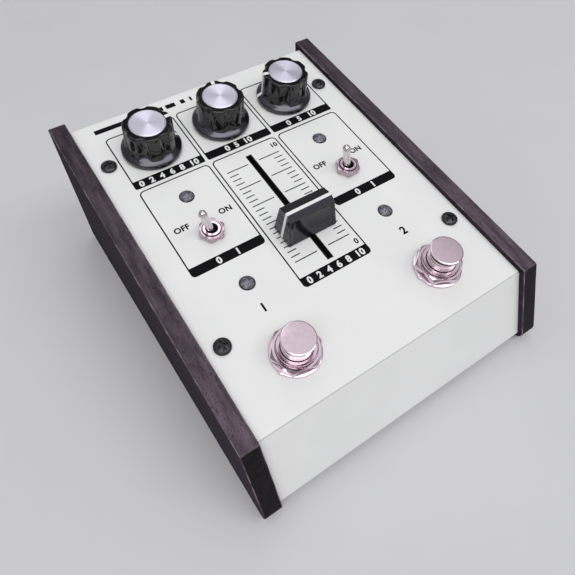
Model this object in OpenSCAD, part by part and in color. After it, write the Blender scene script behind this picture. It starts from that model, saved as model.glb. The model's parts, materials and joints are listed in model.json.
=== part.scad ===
// Delay effect pedal: folded steel case between two wooden cheeks, with three
// knobs, a slider, two toggle switches, two footswitches and four lamps.
// Millimetres. +X right, +Y to the back, +Z up, origin on the table at the middle.

/* [Case] */
// Width of the folded metal case between the cheeks
case_w = 100; // [96:0.5:120]
// Length of the sloped panel from the front fold to the back fold
panel_len = 128.6; // [126:0.2:145]
// Slope of the panel in degrees
panel_slope = 10.6; // [9:0.1:13]
// Lean of the front apron from upright in degrees
apron_lean = 19.2; // [12:0.1:24]
// Height of the front fold above the table
fold_height = 28.7; // [28:0.1:36]
// Height of the case's lower edge above the table
case_low_z = 3.9; // [3.6:0.1:6]
// Thickness of the folded sheet
sheet_t = 1.2; // [1:0.1:1.6]
// Outside radius of the two folds
fold_r = 1.3; // [1.2:0.1:2.5]

/* [Base tray] */
// Thickness of the tray's sheet
tray_t = 1.2; // [1:0.1:1.6]
// Length of the tabs under the panel that take the panel screws
tab_len = 12; // [10:0.5:16]
// Height of the rubber feet
foot_h = 3.5; // [3:0.1:5]
// Radius of the rubber feet
foot_r = 6; // [5.5:0.1:8]
// Distance of the feet from the tray's side edges
foot_inset_x = 12; // [10:0.5:16]
// Distance of the feet from the tray's front and back edges
foot_inset_y = 14; // [10:0.5:20]
// Depth of the foot screws' heads below the foot's face
foot_sink = 0.3; // [0.2:0.05:0.5]
// How far the foot screws stand out of the tray's floor
foot_screw_out = 1.5; // [1:0.1:2.5]

/* [Cheeks] */
// Thickness of the wooden cheeks
cheek_t = 6.1; // [5.5:0.1:10]
// How far the cheeks stand above the panel
cheek_rise = 2; // [1:0.1:4]
// How far the cheeks stand in front of the apron
cheek_front = 2; // [1:0.1:4]
// How far the cheeks stand behind the back wall
cheek_back = 2.1; // [1:0.1:4]
// Height of the cheeks' lower edge above the table
cheek_low_z = 1.5; // [1:0.1:2.5]
// Rounding of the cheeks' lower front corner
cheek_toe_r = 3; // [1.5:0.1:5]
// Rounding of the cheeks' other corners
cheek_corner_r = 0.8; // [0.5:0.1:2]

/* [Layout] */
// Distance of the knobs from the panel's back fold
knob_back = 22.1; // [20:0.1:24]
// Spacing of the knobs
knob_pitch = 28; // [26:0.1:31]
// Distance of the side switches and lamps from the middle
side_u = 27.6; // [26:0.1:30]
// Distance of the footswitches from the front fold
footswitch_v = 15.6; // [13:0.1:18]
// Distance of the lower lamps from the front fold
lower_lamp_v = 42.1; // [38:0.1:45]
// Distance of the toggle switches from the front fold
toggle_v = 64; // [62:0.1:67]
// Distance of the upper lamps from the front fold
upper_lamp_v = 81.2; // [79:0.1:84]
// Distance of the slider's middle from the front fold
slider_v = 61.5; // [59:0.1:63]
// Distance of the panel screws from the case's side edges
screw_inset = 5.5; // [5:0.1:6.5]
// Distance of the front panel screws from the front fold
screw_front_v = 27.8; // [24:0.1:32]
// Distance of the back panel screws from the back fold
screw_back = 22.9; // [18:0.1:28]

/* [Knobs] */
// Radius of the knob skirt
skirt_r = 10.6; // [10:0.1:11.5]
// Height of the skirt's upright edge
skirt_edge = 1.5; // [1:0.1:2]
// Height of the skirt's sloped top above its edge
skirt_slope = 1.2; // [0.8:0.1:1.6]
// Radius of the fluted body at the skirt
grip_r = 8.8; // [8.6:0.1:9.4]
// Radius of the fluted body at the top
grip_top_r = 8.5; // [8.2:0.1:8.6]
// Chamfer at the top of the fluted body
grip_chamfer = 0.6; // [0.4:0.1:0.9]
// Height of the knob's rim above the panel
knob_top = 12.2; // [11.6:0.1:14]
// Gap between the panel and the skirt
knob_gap = 0.5; // [0.4:0.1:0.8]
// Number of flutes round the knob
flute_count = 7; // [6:1:9]
// Radius of each flute
flute_r = 3; // [2.6:0.1:3.4]
// Depth of each flute
flute_depth = 1; // [0.7:0.1:1.1]
// Height of the flutes' lower end above the skirt
flute_foot = 0.2; // [0.1:0.05:0.4]
// Radius of the metal disc on the knob
disc_r = 6.3; // [5.8:0.1:6.7]
// Depth of the disc's recess
disc_depth = 0.9; // [0.7:0.1:1.1]
// How far the disc stands out of its recess
disc_rise = 0.25; // [0.1:0.05:0.4]
// Width of the white pointer
pointer_w = 1.3; // [1:0.1:1.6]
// Depth of the white pointer
pointer_t = 0.4; // [0.3:0.05:0.5]
// Pointer angle of the left knob, from the right, counted anticlockwise
left_angle = 0; // [-60:1:240]
// Pointer angle of the middle knob
middle_angle = 81; // [-60:1:240]
// Pointer angle of the right knob
right_angle = 161; // [-60:1:240]

/* [Rotary controls] */
// Radius of the control shafts
shaft_r = 3; // [2.9:0.05:3.1]
// Height of the shaft's end above the panel
shaft_top = 9.8; // [9:0.1:10.2]
// Radius of the threaded bushings
pot_bush_r = 3.5; // [3.4:0.05:3.8]
// Height of the bushings above the panel
pot_bush_top = 4.2; // [3.6:0.1:4.6]
// Width of the control's body
pot_w = 11; // [10:0.1:12]
// Length of the control's body
pot_len = 12; // [11:0.1:13]
// Thickness of the control's body below the shaft
pot_base = 2; // [1.5:0.1:3]
// Width of the bushing nuts across their flats
pot_nut_af = 10; // [9.5:0.1:10.5]
// Thickness of the bushing nuts
pot_nut_t = 2; // [1.8:0.1:2.2]
// Radius of the bushing washers
pot_washer_r = 6; // [5.6:0.1:6.2]
// Thickness of the bushing washers
pot_washer_t = 0.5; // [0.4:0.1:0.7]

/* [Slider] */
// Travel of the slider
slide_travel = 45; // [44:0.5:46]
// Place of the slider above the lower end of its travel
slide_at = 11.7; // [0:0.1:44]
// Thickness of the slider's blade
blade_t = 1.2; // [1:0.1:1.4]
// Length of the slider's blade along its travel
blade_len = 4; // [3.5:0.1:4.5]
// Width of the slot in the panel
slot_w = 2.4; // [2.3:0.1:2.8]
// Free length at each end of the slot
slot_end = 0.9; // [0.6:0.1:1.2]
// Width of the slide control's body
slide_body_w = 9; // [8.5:0.1:10]
// Height of the slide control's body
slide_body_h = 7; // [6.5:0.1:7.5]
// Wall of the slide control's body
slide_wall = 1.4; // [1.2:0.1:1.6]
// Length of the carriage inside the slide control
carriage_len = 6; // [5.5:0.1:6.5]
// Width of the slider cap at its foot
cap_w = 18.7; // [17:0.1:20]
// Width of the slider cap at its ridge
cap_top_w = 17; // [15:0.1:17]
// Length of the slider cap at its foot
cap_len = 9; // [8.6:0.1:10]
// Height of the slider cap's ridge above the panel
cap_top = 12; // [11:0.1:13.5]
// Thickness of the slider cap above the blade
blade_cover = 4; // [3.5:0.1:5]
// Depth of the sloped band in front of the cap's line
cap_band = 1.75; // [1.4:0.05:2]
// Drop of the sloped band in front of the cap's line
cap_band_drop = 1.7; // [1.4:0.1:2]
// Lean of the cap's back face
cap_back_in = 0.7; // [0.5:0.1:1]
// Drop of the band behind the cap's line
cap_back_drop = 1; // [0.7:0.1:1.3]
// Width of the borders beside the finger hollow
cap_border = 1.1; // [0.8:0.1:1.5]
// Gap between the panel and the slider cap
cap_gap = 0.7; // [0.5:0.1:1]
// Width of the white line on the slider cap
cap_line_w = 1.5; // [1.2:0.1:1.8]
// Depth of the white line on the slider cap
cap_line_t = 0.4; // [0.3:0.05:0.5]
// Depth of the finger hollow in the cap's front
cap_hollow = 0.4; // [0.3:0.05:0.6]
// Radius of the finger hollow
cap_hollow_r = 12; // [10:0.5:16]

/* [Toggle switches] */
// Radius of the threaded bushings
toggle_bush_r = 3; // [2.9:0.05:3.2]
// Height of the bushings above the panel
toggle_bush_top = 2.5; // [2.3:0.1:3]
// Radius of the opening round the lever
toggle_mouth_r = 2; // [1.9:0.05:2.2]
// Depth of the opening below the panel
toggle_depth = 5; // [4.5:0.1:5.5]
// Height of the lever's pivot above the panel
toggle_pivot = 0.6; // [0.4:0.1:0.8]
// Tilt of the lever to each side in degrees
toggle_tilt = 13.5; // [11:0.5:14]
// Length of the lever from its pivot to the middle of its tip
lever_len = 11.2; // [10:0.1:13]
// Radius of the lever at the pivot
lever_r = 1.15; // [1.05:0.05:1.2]
// Radius of the lever at the tip
lever_tip_r = 1.4; // [1.2:0.05:1.6]
// Radius of the lever's tail below the pivot
lever_tail_r = 0.65; // [0.55:0.05:0.75]
// Radius of the pivot ball
lever_ball_r = 1.5; // [1.4:0.05:1.6]
// Width of the switch body along the lever's swing
toggle_w = 13.2; // [12.5:0.1:14]
// Length of the switch body
toggle_len = 8; // [7:0.1:9]
// Width of the nuts across their flats
toggle_nut_af = 8; // [7.6:0.1:8.4]
// Thickness of the nuts
toggle_nut_t = 1.7; // [1.5:0.1:1.8]
// Radius of the washers
toggle_washer_r = 3.9; // [3.7:0.05:4]
// Thickness of the washers
toggle_washer_t = 0.5; // [0.4:0.1:0.5]

/* [Footswitches] */
// Travel of the footswitch button
press_travel = 2.5; // [2:0.1:2.8]
// Radius of the button's cap
button_r = 5.2; // [5:0.05:5.6]
// Radius of the button's stem
stem_r = 4.5; // [4.3:0.05:4.6]
// Height of the button's top above the panel
button_top = 10.2; // [10:0.1:11.5]
// Thickness of the button's cap
button_t = 1.2; // [1:0.1:1.4]
// Chamfer round the button's top
button_chamfer = 0.4; // [0.3:0.1:0.5]
// Radius of the threaded bushings
foot_bush_r = 6; // [5.9:0.05:6.2]
// Height of the bushings above the panel
foot_bush_top = 4.6; // [4.2:0.1:4.8]
// Width of the switch body
switch_w = 17; // [16:0.1:18]
// Height of the switch body
switch_h = 14.5; // [14:0.1:15]
// Height of the solder lugs
lug_h = 3; // [2.5:0.1:3.5]
// Width of the solder lugs
lug_w = 2.4; // [2:0.1:3]
// Thickness of the solder lugs
lug_t = 0.8; // [0.6:0.1:1]
// Spacing of the solder lugs across the switch
lug_pitch = 5; // [4.5:0.1:5.5]
// Distance of the two rows of lugs from the switch's middle
lug_row = 4; // [3.5:0.1:5]
// Thickness of the switch body above its chamber
switch_roof = 1.5; // [1.3:0.1:1.8]
// Thickness of the switch body below its chamber
switch_floor = 1.8; // [1.5:0.1:2]
// Radius of the chamber inside the switch
chamber_r = 5.8; // [5.7:0.05:6]
// Thickness of the collar that holds the button in
collar_t = 1.9; // [1.6:0.1:2.2]
// Radius of the return spring's coil
coil_r = 3.5; // [3.2:0.1:3.8]
// Radius of the return spring's wire
wire_r = 0.45; // [0.35:0.05:0.5]
// Turns of the return spring
coil_turns = 4.5; // [4:0.5:5]
// Width of the nuts across their flats
foot_nut_af = 14; // [13.6:0.1:14.4]
// Thickness of the nuts
foot_nut_t = 2.5; // [2.2:0.1:2.6]
// Radius of the washers
foot_washer_r = 8; // [7.6:0.1:8.4]
// Thickness of the washers
foot_washer_t = 1; // [0.8:0.1:1.2]

/* [Lamps] */
// Radius of the lamps
lamp_r = 2.5; // [2.4:0.05:2.6]
// Height of the lamps' domes above the panel
lamp_top = 1.2; // [0.8:0.1:1.6]
// Length of the lamps
lamp_len = 8.2; // [7.8:0.1:8.6]
// Width of the rim round a lamp's foot
lamp_rim = 0.4; // [0.3:0.05:0.5]
// Height of the rim round a lamp's foot
lamp_rim_h = 1; // [0.8:0.1:1.2]
// Radius of the lamps' two wires
lead_r = 0.25; // [0.2:0.05:0.3]
// Spacing of a lamp's two wires
lead_pitch = 2.54; // [2.3:0.02:2.7]

/* [Circuit board] */
// Depth of the board's top below the panel
board_depth = 11; // [10.6:0.1:11.4]
// Thickness of the board
board_t = 1.6; // [1.2:0.1:2]
// Width of the board
board_w = 76; // [74:0.5:80]
// Distance of the board's front edge from the front fold
board_v = 31; // [29:0.5:33]
// Length of the board
board_len = 86; // [84:0.5:88]
// Width of the chips
chip_w = 7; // [6.5:0.1:8]
// Length of the chips
chip_len = 19; // [18:0.1:20]
// Height of the chips
chip_h = 3.4; // [3:0.1:4]
// Distance of the chips from the middle
chip_u = 13; // [11:0.5:14]
// Distance of the chips' middle from the front fold
chip_v = 67; // [65:0.5:70]
// Spacing of the chips along the board
chip_pitch = 24; // [22:0.5:26]
// Radius of the capacitors
can_r = 2.5; // [2:0.1:3]
// Height of the capacitors
can_h = 7; // [5:0.1:8]
// Distance of the capacitors from the middle
can_u = 24; // [22:0.5:28]
// Distance of the capacitors' middle from the front fold
can_v = 66; // [64:0.5:70]
// Spacing of the capacitors along the board
can_pitch = 8; // [7:0.1:9]
// Thickness of the flat cables
cable_t = 1; // [0.8:0.1:1.2]
// Width of the flat cables
cable_w = 8; // [6:0.5:10]
// Length of a flat cable's end on the piece it joins
cable_seat = 6; // [5:0.5:8]
// Distance from the knobs to the jack cables' ends on the board
jack_run = 16; // [14:0.5:18]
// Distance from the knobs to the power cable's end on the board
dc_run = 6; // [5:0.5:8]

/* [Sockets] */
// Distance of the two jack sockets from the case's side edges
jack_inset = 18; // [16:0.5:20]
// Height of the sockets' centres above the table
jack_z = 17; // [16:0.1:19]
// Radius of the jack sockets' bore
jack_bore_r = 3.25; // [3.22:0.01:3.4]
// Length of the jack sockets' bore
jack_bore_len = 30; // [29:0.5:31]
// Radius of the jack sockets' bushing
jack_bush_r = 4.5; // [4.4:0.05:4.8]
// How far the bushing stands behind the back wall
jack_out = 4.5; // [4:0.1:5]
// Width of the jack sockets' body
jack_w = 15; // [14:0.1:16]
// Length of the jack sockets' body
jack_len = 28; // [27:0.5:29]
// Width of the jack nuts across their flats
jack_nut_af = 12; // [11.5:0.1:12.5]
// Thickness of the jack nuts
jack_nut_t = 2.2; // [2:0.1:2.4]
// Radius of the jack washers
jack_washer_r = 6.6; // [6.2:0.1:7]
// Thickness of the jack washers
jack_washer_t = 0.6; // [0.5:0.1:0.8]
// Radius of the power socket's body
dc_r = 5.5; // [5.2:0.1:6]
// Radius of the power socket's flange
dc_flange_r = 6.8; // [6.6:0.1:7.4]
// Thickness of the power socket's flange
dc_flange_t = 1.8; // [1.4:0.1:2]
// Length of the power socket's body
dc_len = 13; // [12:0.1:14]
// Radius of the power socket's opening
dc_mouth_r = 2.9; // [2.85:0.05:3]
// Depth of the power socket's opening
dc_mouth_len = 9.5; // [9:0.1:10]
// Radius of the power socket's pin
dc_pin_r = 1; // [1:0.05:1.25]
// Depth of the power socket's pin in its seat
dc_pin_seat = 1.5; // [1.2:0.1:2]
// Depth of the power socket's pin below its flange
dc_pin_sink = 0.8; // [0.5:0.1:1.2]

/* [Fasteners] */
// Radius of the panel and foot screws
screw_r = 1.45; // [1.4:0.05:1.5]
// Radius of the screw heads
head_r = 2.7; // [2.6:0.05:2.9]
// Height of the screw heads
head_h = 1.7; // [1.5:0.1:1.9]
// Length of the panel screws below their heads
screw_len = 6; // [5:0.5:8]
// Depth of the cheek screws in the wood
wood_depth = 4.2; // [3.5:0.1:4.6]
// Height of the cheek screws above the table
cheek_screw_z = 13; // [12:0.5:15]
// Distance of the outer cheek screws from the case's front fold and back wall
cheek_screw_end = 17.7; // [15:0.1:22]
// Width of the cross in the screw heads
cross_w = 0.7; // [0.6:0.05:0.8]
// Length of the cross in the screw heads
cross_len = 3; // [2.8:0.1:3.4]
// Depth of the cross in the screw heads
cross_depth = 1.1; // [0.8:0.1:1.2]
// Angle of the bevel on the nuts, in degrees
nut_bevel = 58; // [50:1:65]
// Width left square round the top of the nuts
nut_land = 0.1; // [0.05:0.05:0.2]

/* [Fits] */
// Gap round a screw in a plain hole
screw_gap = 0.2; // [0.1:0.05:0.3]
// Gap round a bushing or lamp in its hole
bush_gap = 0.15; // [0.1:0.05:0.25]
// Gap between pieces that are screwed or pushed together
seat_gap = 0.05; // [0.03:0.01:0.1]
// Gap round a turning shaft
run_gap = 0.08; // [0.06:0.01:0.1]
// Gap round a sliding or tilting piece
slide_gap = 0.3; // [0.3:0.05:0.4]
// Gap between the tray and the folded cover
shell_gap = 0.2; // [0.15:0.05:0.3]

/* [Hidden] */
$fn = 48;
// How far cutting shapes pass beyond the faces they cut
over = 1;
// Number of flats in a rounded corner of a side outline
bend_steps = 10;

// Side outline, as [y, z] with y counted from the front fold
panel_dir = [cos(panel_slope), sin(panel_slope)];
panel_out = [-sin(panel_slope), cos(panel_slope)];
apron_dir = [-sin(apron_lean), -cos(apron_lean)];
apron_out = [-cos(apron_lean), sin(apron_lean)];
rear_out = [1, 0];
down = [0, -1];
fold = [0, fold_height];
back = fold + panel_dir * panel_len;
tray_z = foot_h + tray_t;
inner_fold_r = fold_r - sheet_t;

function dot2(a, b) = a[0] * b[0] + a[1] * b[1];
function corner(p, n1, d1, n2, d2) =
    let (c = dot2(n1, n2), k = 1 - c * c)
    p + n1 * ((d1 - d2 * c) / k) + n2 * ((d2 - d1 * c) / k);
function at_z(p, dir, z) = p + dir * ((z - p[1]) / dir[1]);
function shell(d, z) =
    let (front = corner(fold, panel_out, -d, apron_out, -d))
    [
        at_z(front, apron_dir, z),
        front,
        corner(back, panel_out, -d, rear_out, -d),
        [back[0] - d, z]
    ];
function on_side(v, h) = fold + panel_dir * v + panel_out * h;
function unit(v) = v / norm(v);
function bend(p, a, b, r) =
    let (
        c = dot2(a, b),
        t = r * sqrt((1 + c) / (1 - c)),
        centre = p + unit(a + b) * r / sqrt((1 - c) / 2),
        from = p + a * t - centre,
        to = p + b * t - centre,
        start = atan2(from[1], from[0]),
        sweep = atan2(from[0] * to[1] - from[1] * to[0], dot2(from, to))
    )
    [
        for (k = [0 : bend_steps])
            let (angle = start + sweep * k / bend_steps)
            centre + [cos(angle), sin(angle)] * r
    ];
function rounded(pts, radii) =
    let (n = len(pts))
    [
        for (i = [0 : n - 1])
            let (a = unit(pts[(i + n - 1) % n] - pts[i]), b = unit(pts[(i + 1) % n] - pts[i]))
            each radii[i] > 0 ? bend(pts[i], a, b, radii[i]) : [pts[i]]
    ];

cheek_peak = corner(fold, panel_out, cheek_rise, apron_out, cheek_front);
cheek_toe = at_z(cheek_peak, apron_dir, cheek_low_z);
cheek_heel = [back[0] + cheek_back, cheek_low_z];
cheek_crest = corner(back, panel_out, cheek_rise, rear_out, cheek_back);
toe_centre = corner(cheek_toe, apron_out, -cheek_toe_r, down, -cheek_toe_r);
y_front = toe_centre[0] - cheek_toe_r;
y_rear = back[0] + max(jack_out, cheek_back);
y_shift = -(y_front + y_rear) / 2;

knob_v = panel_len - knob_back;
screw_u = case_w / 2 - screw_inset;
jack_x = case_w / 2 - jack_inset;
screw_vs = [screw_front_v, panel_len - screw_back];
knob_us = [-knob_pitch, 0, knob_pitch];
sides = [-side_u, side_u];
skirt_top = knob_gap + skirt_edge + skirt_slope;
disc_seat_r = disc_r + seat_gap;
hollow_top = pot_bush_top + slide_gap;
hollow_r = pot_washer_r + 2 * slide_gap;
pot_floor = board_depth - pot_base;
slot_len = slide_travel + blade_len + 2 * slot_end;
slide_v = slider_v - slide_travel / 2 + slide_at;
channel_w = slide_body_w - 2 * slide_wall;
channel_len = slide_travel + carriage_len + 2 * slide_gap;
channel_low = slide_wall - board_depth;
channel_high = slide_body_h - slide_wall - board_depth;
slide_body_len = channel_len + 4 * slide_wall;
blade_top = cap_top - blade_cover;
switch_top = -sheet_t - foot_nut_t;
stem_bore_r = stem_r + slide_gap;
chamber_top = switch_top - switch_roof;
chamber_low = switch_top - switch_h + switch_floor;
collar_r = chamber_r - slide_gap;
collar_top = chamber_top - 2 * seat_gap;
collar_low = collar_top - collar_t;
lamp_low = lamp_top - lamp_len;
rim_r = lamp_r + lamp_rim;
board_low = -board_depth - board_t;
jack_in = back[0] - sheet_t - jack_len;
tray_outline = shell(sheet_t + shell_gap, foot_h);
foot_xs = [foot_inset_x - case_w / 2, case_w / 2 - foot_inset_x];
foot_ys = [tray_outline[0][0] + foot_inset_y, tray_outline[3][0] - foot_inset_y];
cheek_screw_ys = [cheek_screw_end, back[0] / 2, back[0] - cheek_screw_end];
foot_seat_z = head_h + foot_sink;
dc_floor = dc_flange_t - dc_mouth_len;

// Places children on the panel, u across, v up the slope, h above its face
module on_panel(u, v, h = 0) {
    translate([0, y_shift, fold_height])
        rotate([panel_slope, 0, 0])
            translate([u, v, h])
                children();
}

// Places children on the back wall's outer face, their Z pointing backwards
module on_rear(x, z) {
    translate([x, y_shift + back[0], z])
        rotate([-90, 0, 0])
            children();
}

// Extrudes a side outline from x over a width
module side_slab(x, w) {
    translate([x, y_shift, 0])
        rotate([90, 0, 90])
            linear_extrude(w)
                children();
}

// Bar with a square section, centred across and standing on its origin
module block(w, l, h) {
    translate([-w / 2, -l / 2, 0])
        cube([w, l, h]);
}

module ring(r, t, hole_r) {
    difference() {
        cylinder(r = r, h = t);
        translate([0, 0, -over])
            cylinder(r = hole_r, h = t + 2 * over);
    }
}

module hex_nut(af, t, hole_r) {
    difference() {
        intersection() {
            cylinder(d = af / cos(30), h = t, $fn = 6);
            cylinder(r1 = af / 2 + nut_land + t * tan(nut_bevel), r2 = af / 2 + nut_land, h = t);
        }
        translate([0, 0, -over])
            cylinder(r = hole_r, h = t + 2 * over);
    }
}

// Domed screw with a cross, its head's underside at the origin
module screw(length, r) {
    dome_r = (head_r * head_r + head_h * head_h) / head_h / 2 + head_h;
    difference() {
        union() {
            intersection() {
                cylinder(r = head_r, h = head_h);
                translate([0, 0, head_h - dome_r])
                    sphere(r = dome_r);
            }
            translate([0, 0, -length])
                cylinder(r = r, h = length + head_h / 2);
        }
        for (a = [0, 90])
            rotate([0, 0, a])
                translate([0, 0, head_h - cross_depth])
                    block(cross_len, cross_w, head_h);
    }
}

// Drills through the panel
module panel_hole(u, v, r) {
    on_panel(u, v, -sheet_t - over)
        cylinder(r = r, h = sheet_t + 2 * over);
}

module top_cover() {
    outside = rounded(shell(0, case_low_z), [0, fold_r, fold_r, 0]);
    inside = rounded(shell(sheet_t, case_low_z), [0, inner_fold_r, inner_fold_r, 0]);
    last = len(inside) - 1;
    color([0.9, 0.9, 0.88])
        difference() {
            side_slab(-case_w / 2, case_w)
                polygon(concat(outside, [for (i = [0 : last]) inside[last - i]]));
            for (u = [-screw_u, screw_u])
                for (v = screw_vs)
                    panel_hole(u, v, screw_r + screw_gap);
            for (u = knob_us)
                panel_hole(u, knob_v, pot_bush_r + bush_gap);
            for (u = sides) {
                panel_hole(u, toggle_v, toggle_bush_r + bush_gap);
                panel_hole(u, footswitch_v, foot_bush_r + bush_gap);
                panel_hole(u, lower_lamp_v, lamp_r + bush_gap);
                panel_hole(u, upper_lamp_v, lamp_r + bush_gap);
            }
            on_panel(0, slider_v, -sheet_t - over)
                block(slot_w, slot_len, sheet_t + 2 * over);
            for (x = [-jack_x, jack_x])
                on_rear(x, jack_z)
                    translate([0, 0, -sheet_t - over])
                        cylinder(r = jack_bush_r + bush_gap, h = sheet_t + 2 * over);
            on_rear(0, jack_z)
                translate([0, 0, -sheet_t - over])
                    cylinder(r = dc_r + bush_gap, h = sheet_t + 2 * over);
        }
}

module base_tray() {
    low = at_z(tray_outline[1], apron_dir, tray_z);
    color([0.55, 0.56, 0.58])
        difference() {
            union() {
                side_slab(-case_w / 2, case_w)
                    polygon([
                        [low[0], foot_h],
                        [tray_outline[3][0], foot_h],
                        [tray_outline[3][0], tray_z],
                        [low[0], tray_z]
                    ]);
                for (x = [-case_w / 2, case_w / 2 - tray_t])
                    side_slab(x, tray_t)
                        polygon(rounded(
                            [
                                [low[0], foot_h],
                                low,
                                tray_outline[1],
                                tray_outline[2],
                                tray_outline[3]
                            ],
                            [0, 0, inner_fold_r, inner_fold_r, 0]
                        ));
                for (s = [-1, 1])
                    for (v = screw_vs)
                        on_panel(s * screw_u, v, -sheet_t - tray_t)
                            block(2 * screw_inset, tab_len, tray_t);
            }
            for (u = [-screw_u, screw_u])
                for (v = screw_vs)
                    on_panel(u, v, -sheet_t - tray_t - over)
                        cylinder(r = screw_r + seat_gap, h = tray_t + 2 * over);
            for (x = foot_xs)
                for (y = foot_ys)
                    translate([x, y_shift + y, foot_h - over])
                        cylinder(r = screw_r + seat_gap, h = tray_t + 2 * over);
            for (y = cheek_screw_ys)
                translate([-case_w / 2 - over, y_shift + y, cheek_screw_z])
                    rotate([0, 90, 0])
                        cylinder(r = screw_r + screw_gap, h = case_w + 2 * over);
        }
}

module cheek(x, hole_x) {
    color([0.2, 0.13, 0.1])
        difference() {
            side_slab(x, cheek_t)
                polygon(rounded(
                    [cheek_peak, cheek_toe, cheek_heel, cheek_crest],
                    [cheek_corner_r, cheek_toe_r, cheek_corner_r, cheek_corner_r]
                ));
            for (y = cheek_screw_ys)
                translate([hole_x, y_shift + y, cheek_screw_z])
                    rotate([0, 90, 0])
                        cylinder(
                            r = screw_r + seat_gap,
                            h = 2 * (wood_depth + screw_gap),
                            center = true
                        );
        }
}

module left_cheek() {
    cheek(-case_w / 2 - cheek_t, -case_w / 2);
}

module right_cheek() {
    cheek(case_w / 2, case_w / 2);
}

module cheek_screws() {
    color([0.7, 0.7, 0.72])
        for (s = [-1, 1])
            for (y = cheek_screw_ys)
                translate([s * (case_w / 2 - tray_t), y_shift + y, cheek_screw_z])
                    rotate([0, -90 * s, 0])
                        screw(tray_t + wood_depth, screw_r);
}

module panel_screws() {
    color([0.08, 0.08, 0.08])
        for (u = [-screw_u, screw_u])
            for (v = screw_vs)
                on_panel(u, v)
                    screw(screw_len, screw_r);
}

module rubber_feet() {
    color([0.06, 0.06, 0.06])
        for (x = foot_xs)
            for (y = foot_ys)
                translate([x, y_shift + y, 0])
                    difference() {
                        cylinder(r = foot_r, h = foot_h);
                        translate([0, 0, -over])
                            cylinder(r = head_r + 2 * screw_gap, h = foot_seat_z + over);
                        cylinder(r = screw_r + screw_gap, h = foot_h + over);
                    }
}

module foot_screws() {
    color([0.7, 0.7, 0.72])
        for (x = foot_xs)
            for (y = foot_ys)
                translate([x, y_shift + y, foot_seat_z])
                    rotate([180, 0, 0])
                        screw(tray_z - foot_seat_z + foot_screw_out, screw_r);
}

module pot(u) {
    color([0.6, 0.6, 0.62])
        on_panel(u, knob_v)
            difference() {
                union() {
                    translate([0, 0, -board_depth])
                        block(pot_w, pot_len, board_depth - sheet_t);
                    translate([0, 0, -sheet_t - over])
                        cylinder(r = pot_bush_r, h = pot_bush_top + sheet_t + over);
                }
                translate([0, 0, -pot_floor])
                    cylinder(r = shaft_r + run_gap, h = pot_floor + pot_bush_top + over);
            }
}

module left_pot() {
    pot(knob_us[0]);
}

module middle_pot() {
    pot(knob_us[1]);
}

module right_pot() {
    pot(knob_us[2]);
}

module shaft(u) {
    color([0.8, 0.8, 0.82])
        on_panel(u, knob_v, run_gap - pot_floor)
            cylinder(r = shaft_r, h = shaft_top + pot_floor - run_gap);
}

module left_shaft() {
    shaft(knob_us[0]);
}

module middle_shaft() {
    shaft(knob_us[1]);
}

module right_shaft() {
    shaft(knob_us[2]);
}

// White strip over the rim, down the grip and across the skirt
module pointer_strip(grow) {
    g = grow;
    rotate([90, 0, 0])
        translate([0, 0, -pointer_w / 2])
            linear_extrude(pointer_w)
                polygon([
                    [disc_seat_r + 2 * seat_gap - g, knob_top + g],
                    [grip_top_r - grip_chamfer + g, knob_top + g],
                    [grip_top_r + g, knob_top - grip_chamfer + g],
                    [grip_r + g, skirt_top + g],
                    [skirt_r + g, knob_gap + skirt_edge + g],
                    [skirt_r + g, knob_gap - g],
                    [skirt_r - pointer_t, knob_gap - g],
                    [skirt_r - pointer_t, knob_gap + skirt_edge - pointer_t],
                    [grip_r - pointer_t, skirt_top - pointer_t],
                    [grip_top_r - pointer_t, knob_top - grip_chamfer - pointer_t / 2],
                    [grip_top_r - grip_chamfer - pointer_t / 2, knob_top - pointer_t],
                    [disc_seat_r + 2 * seat_gap - g, knob_top - pointer_t]
                ]);
}

module knob(u, angle) {
    step = 360 / flute_count;
    color([0.03, 0.03, 0.03])
        on_panel(u, knob_v)
            rotate([0, 0, angle])
                difference() {
                    rotate_extrude()
                        polygon([
                            [shaft_r + seat_gap, hollow_top],
                            [hollow_r, hollow_top],
                            [hollow_r, knob_gap],
                            [skirt_r, knob_gap],
                            [skirt_r, knob_gap + skirt_edge],
                            [grip_r, skirt_top],
                            [grip_top_r, knob_top - grip_chamfer],
                            [grip_top_r - grip_chamfer, knob_top],
                            [disc_seat_r, knob_top],
                            [disc_seat_r, knob_top - disc_depth],
                            [0, knob_top - disc_depth],
                            [0, shaft_top + seat_gap],
                            [shaft_r + seat_gap, shaft_top + seat_gap]
                        ]);
                    for (i = [0 : flute_count - 1])
                        rotate([0, 0, step * (i + 0.5)])
                            translate([grip_r - flute_depth + flute_r, 0, skirt_top + flute_foot])
                                cylinder(r = flute_r, h = knob_top);
                    pointer_strip(pointer_t / 2);
                }
}

module left_knob() {
    knob(knob_us[0], left_angle);
}

module middle_knob() {
    knob(knob_us[1], middle_angle);
}

module right_knob() {
    knob(knob_us[2], right_angle);
}

module disc(u) {
    color([0.85, 0.85, 0.85])
        on_panel(u, knob_v, knob_top - disc_depth)
            cylinder(r = disc_r, h = disc_depth + disc_rise);
}

module left_disc() {
    disc(knob_us[0]);
}

module middle_disc() {
    disc(knob_us[1]);
}

module right_disc() {
    disc(knob_us[2]);
}

module pointer(u, angle) {
    color([0.95, 0.95, 0.95])
        on_panel(u, knob_v)
            rotate([0, 0, angle])
                pointer_strip(0);
}

module left_pointer() {
    pointer(knob_us[0], left_angle);
}

module middle_pointer() {
    pointer(knob_us[1], middle_angle);
}

module right_pointer() {
    pointer(knob_us[2], right_angle);
}

module pot_nuts() {
    color([0.75, 0.75, 0.77])
        for (u = knob_us)
            on_panel(u, knob_v, pot_washer_t)
                hex_nut(pot_nut_af, pot_nut_t, pot_bush_r + seat_gap);
}

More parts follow.
